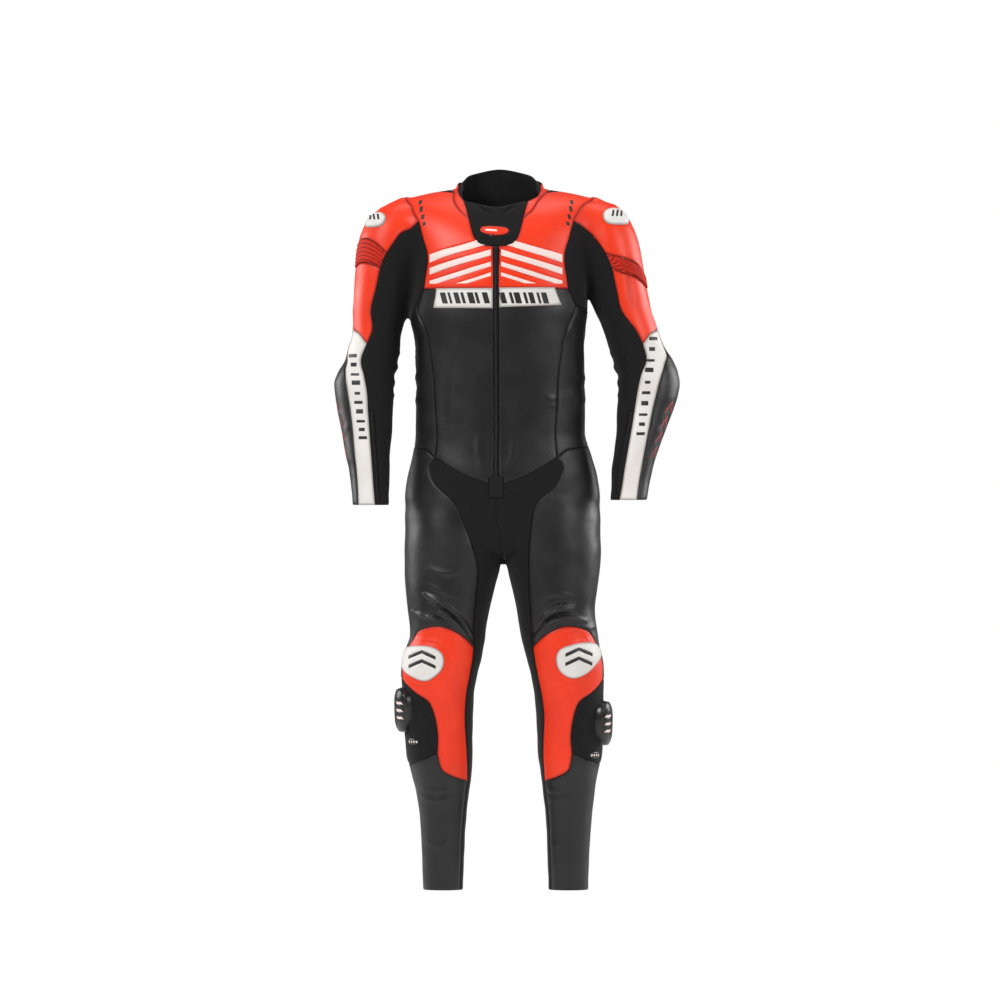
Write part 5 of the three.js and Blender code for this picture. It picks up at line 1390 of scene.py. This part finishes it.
# Lining of the collar, a band inside it
liningLook = {"angles": (54, 306), "inward": 5.0, "thickness": 1.8}
turn = np.linspace(*liningLook["angles"], 120)
angle = np.minimum(turn, 360 - turn)
lower = mix(-8, -6, smooth(angle, 54, 88))
upper = mix(4, 27, smooth(angle, 50, 104)) + 2 * smooth(angle, 130, 180)
chart = maps["right"]["body"]
turn = np.concatenate([turn, turn[::-1]])
path = chart[1](np.radians(-turn), np.concatenate([lower, upper[::-1]]))
path = np.hstack([path, normalAt(path)])
border = borderOf(chart, path)
surface = surfaceOn(chart, border, (5, 5), (1.0, 2.4))
lift = -liningLook["inward"] - 0.8 * np.exp(-surface["edge"] / 1.2)
lining = makePiece("collar_lining", surface, lift, "blackStretch", liningLook["thickness"])
dress(lining, "collar_lining")
panels["collar_lining"] = {"surface": surface}

for node in ("zip_slider", "zip_pull"):
    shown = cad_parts[node]
    shown.data.materials.clear()
    shown.data.materials.append(finishes["blackenedZinc"])
print("stage: hardware made")


# Studio: pale floor, soft lights and a long lens level with the middle of the picture
studio = {
    "distance": 16.0,  # metres, so that near and far parts keep their sizes
    "height": -0.61,
    "across": 2.0,  # metres across the picture
    "floor": -1.525,
    "floorColour": "#f2f2f2",
    "floorReach": 2.2,
    "floorGlow": 0.72,
    "lights": {
        "key": {"at": (-3.0, -3.8, 2.4), "size": 2.2, "power": 215},
        "fill": {"at": (3.4, -2.9, 1.0), "size": 2.4, "power": 85},
        "top": {"at": (0.2, 0.2, 3.2), "size": 2.4, "power": 45},
        "rimRight": {"at": (-3.2, 1.4, 0.2), "size": 2.0, "power": 60},
        "rimLeft": {"at": (3.2, 1.4, 0.2), "size": 2.0, "power": 70},
    },
    "ambient": 0.2,
}
target = Vector((0, 0, studio["height"]))
camera = bpy.data.objects.new("camera", bpy.data.cameras.new("camera"))
camera.location = (0, -studio["distance"], studio["height"])
camera.rotation_euler = (np.pi / 2, 0, 0)
camera.data.lens = camera.data.sensor_width * studio["distance"] / studio["across"]
camera.data.clip_end = 100
bpy.context.scene.collection.objects.link(camera)
bpy.context.scene.camera = camera
for name, light in studio["lights"].items():
    lamp = bpy.data.objects.new(name, bpy.data.lights.new(name, "AREA"))
    lamp.data.shape = "DISK"
    lamp.data.size = light["size"]
    lamp.data.energy = light["power"]
    lamp.location = light["at"]
    lamp.rotation_mode = "QUATERNION"
    lamp.rotation_quaternion = (lamp.location - target).to_track_quat("Z", "Y")
    bpy.context.scene.collection.objects.link(lamp)
world = bpy.data.worlds.new("studio")
world.use_nodes = True
backdrop = world.node_tree.nodes["Background"]
backdrop.inputs["Color"].default_value = (1, 1, 1, 1)
seen = addNode(world.node_tree, "ShaderNodeLightPath").outputs["Is Camera Ray"]
strength = addNode(world.node_tree, "ShaderNodeMapRange", {3: studio["ambient"], 4: 1.0}, {0: seen})
world.node_tree.links.new(strength.outputs[0], backdrop.inputs["Strength"])
bpy.context.scene.world = world
bpy.context.scene.view_settings.view_transform = "Standard"
floorMesh = bpy.data.meshes.new("floor")
corners = [(x * studio["floorReach"], y * studio["floorReach"], studio["floor"]) for x, y in ((-1, -1), (1, -1), (1, 1), (-1, 1))]
floorMesh.from_pydata(corners, [], [(0, 1, 2, 3)])
floor = bpy.data.objects.new("floor", floorMesh)
floorFinish, floorTree, floorShader = newFinish("painted_floor")
floorShader.inputs["Base Color"].default_value = hexColour(studio["floorColour"])
floorShader.inputs["Roughness"].default_value = 0.8
floorShader.inputs["Emission Color"].default_value = (1, 1, 1, 1)
seen = addNode(floorTree, "ShaderNodeLightPath").outputs["Is Camera Ray"]
glow = addNode(floorTree, "ShaderNodeMapRange", {3: 0.0, 4: studio["floorGlow"]}, {0: seen})
floorTree.links.new(glow.outputs[0], floorShader.inputs["Emission Strength"])
floorMesh.materials.append(floorFinish)
bpy.context.scene.collection.objects.link(floor)
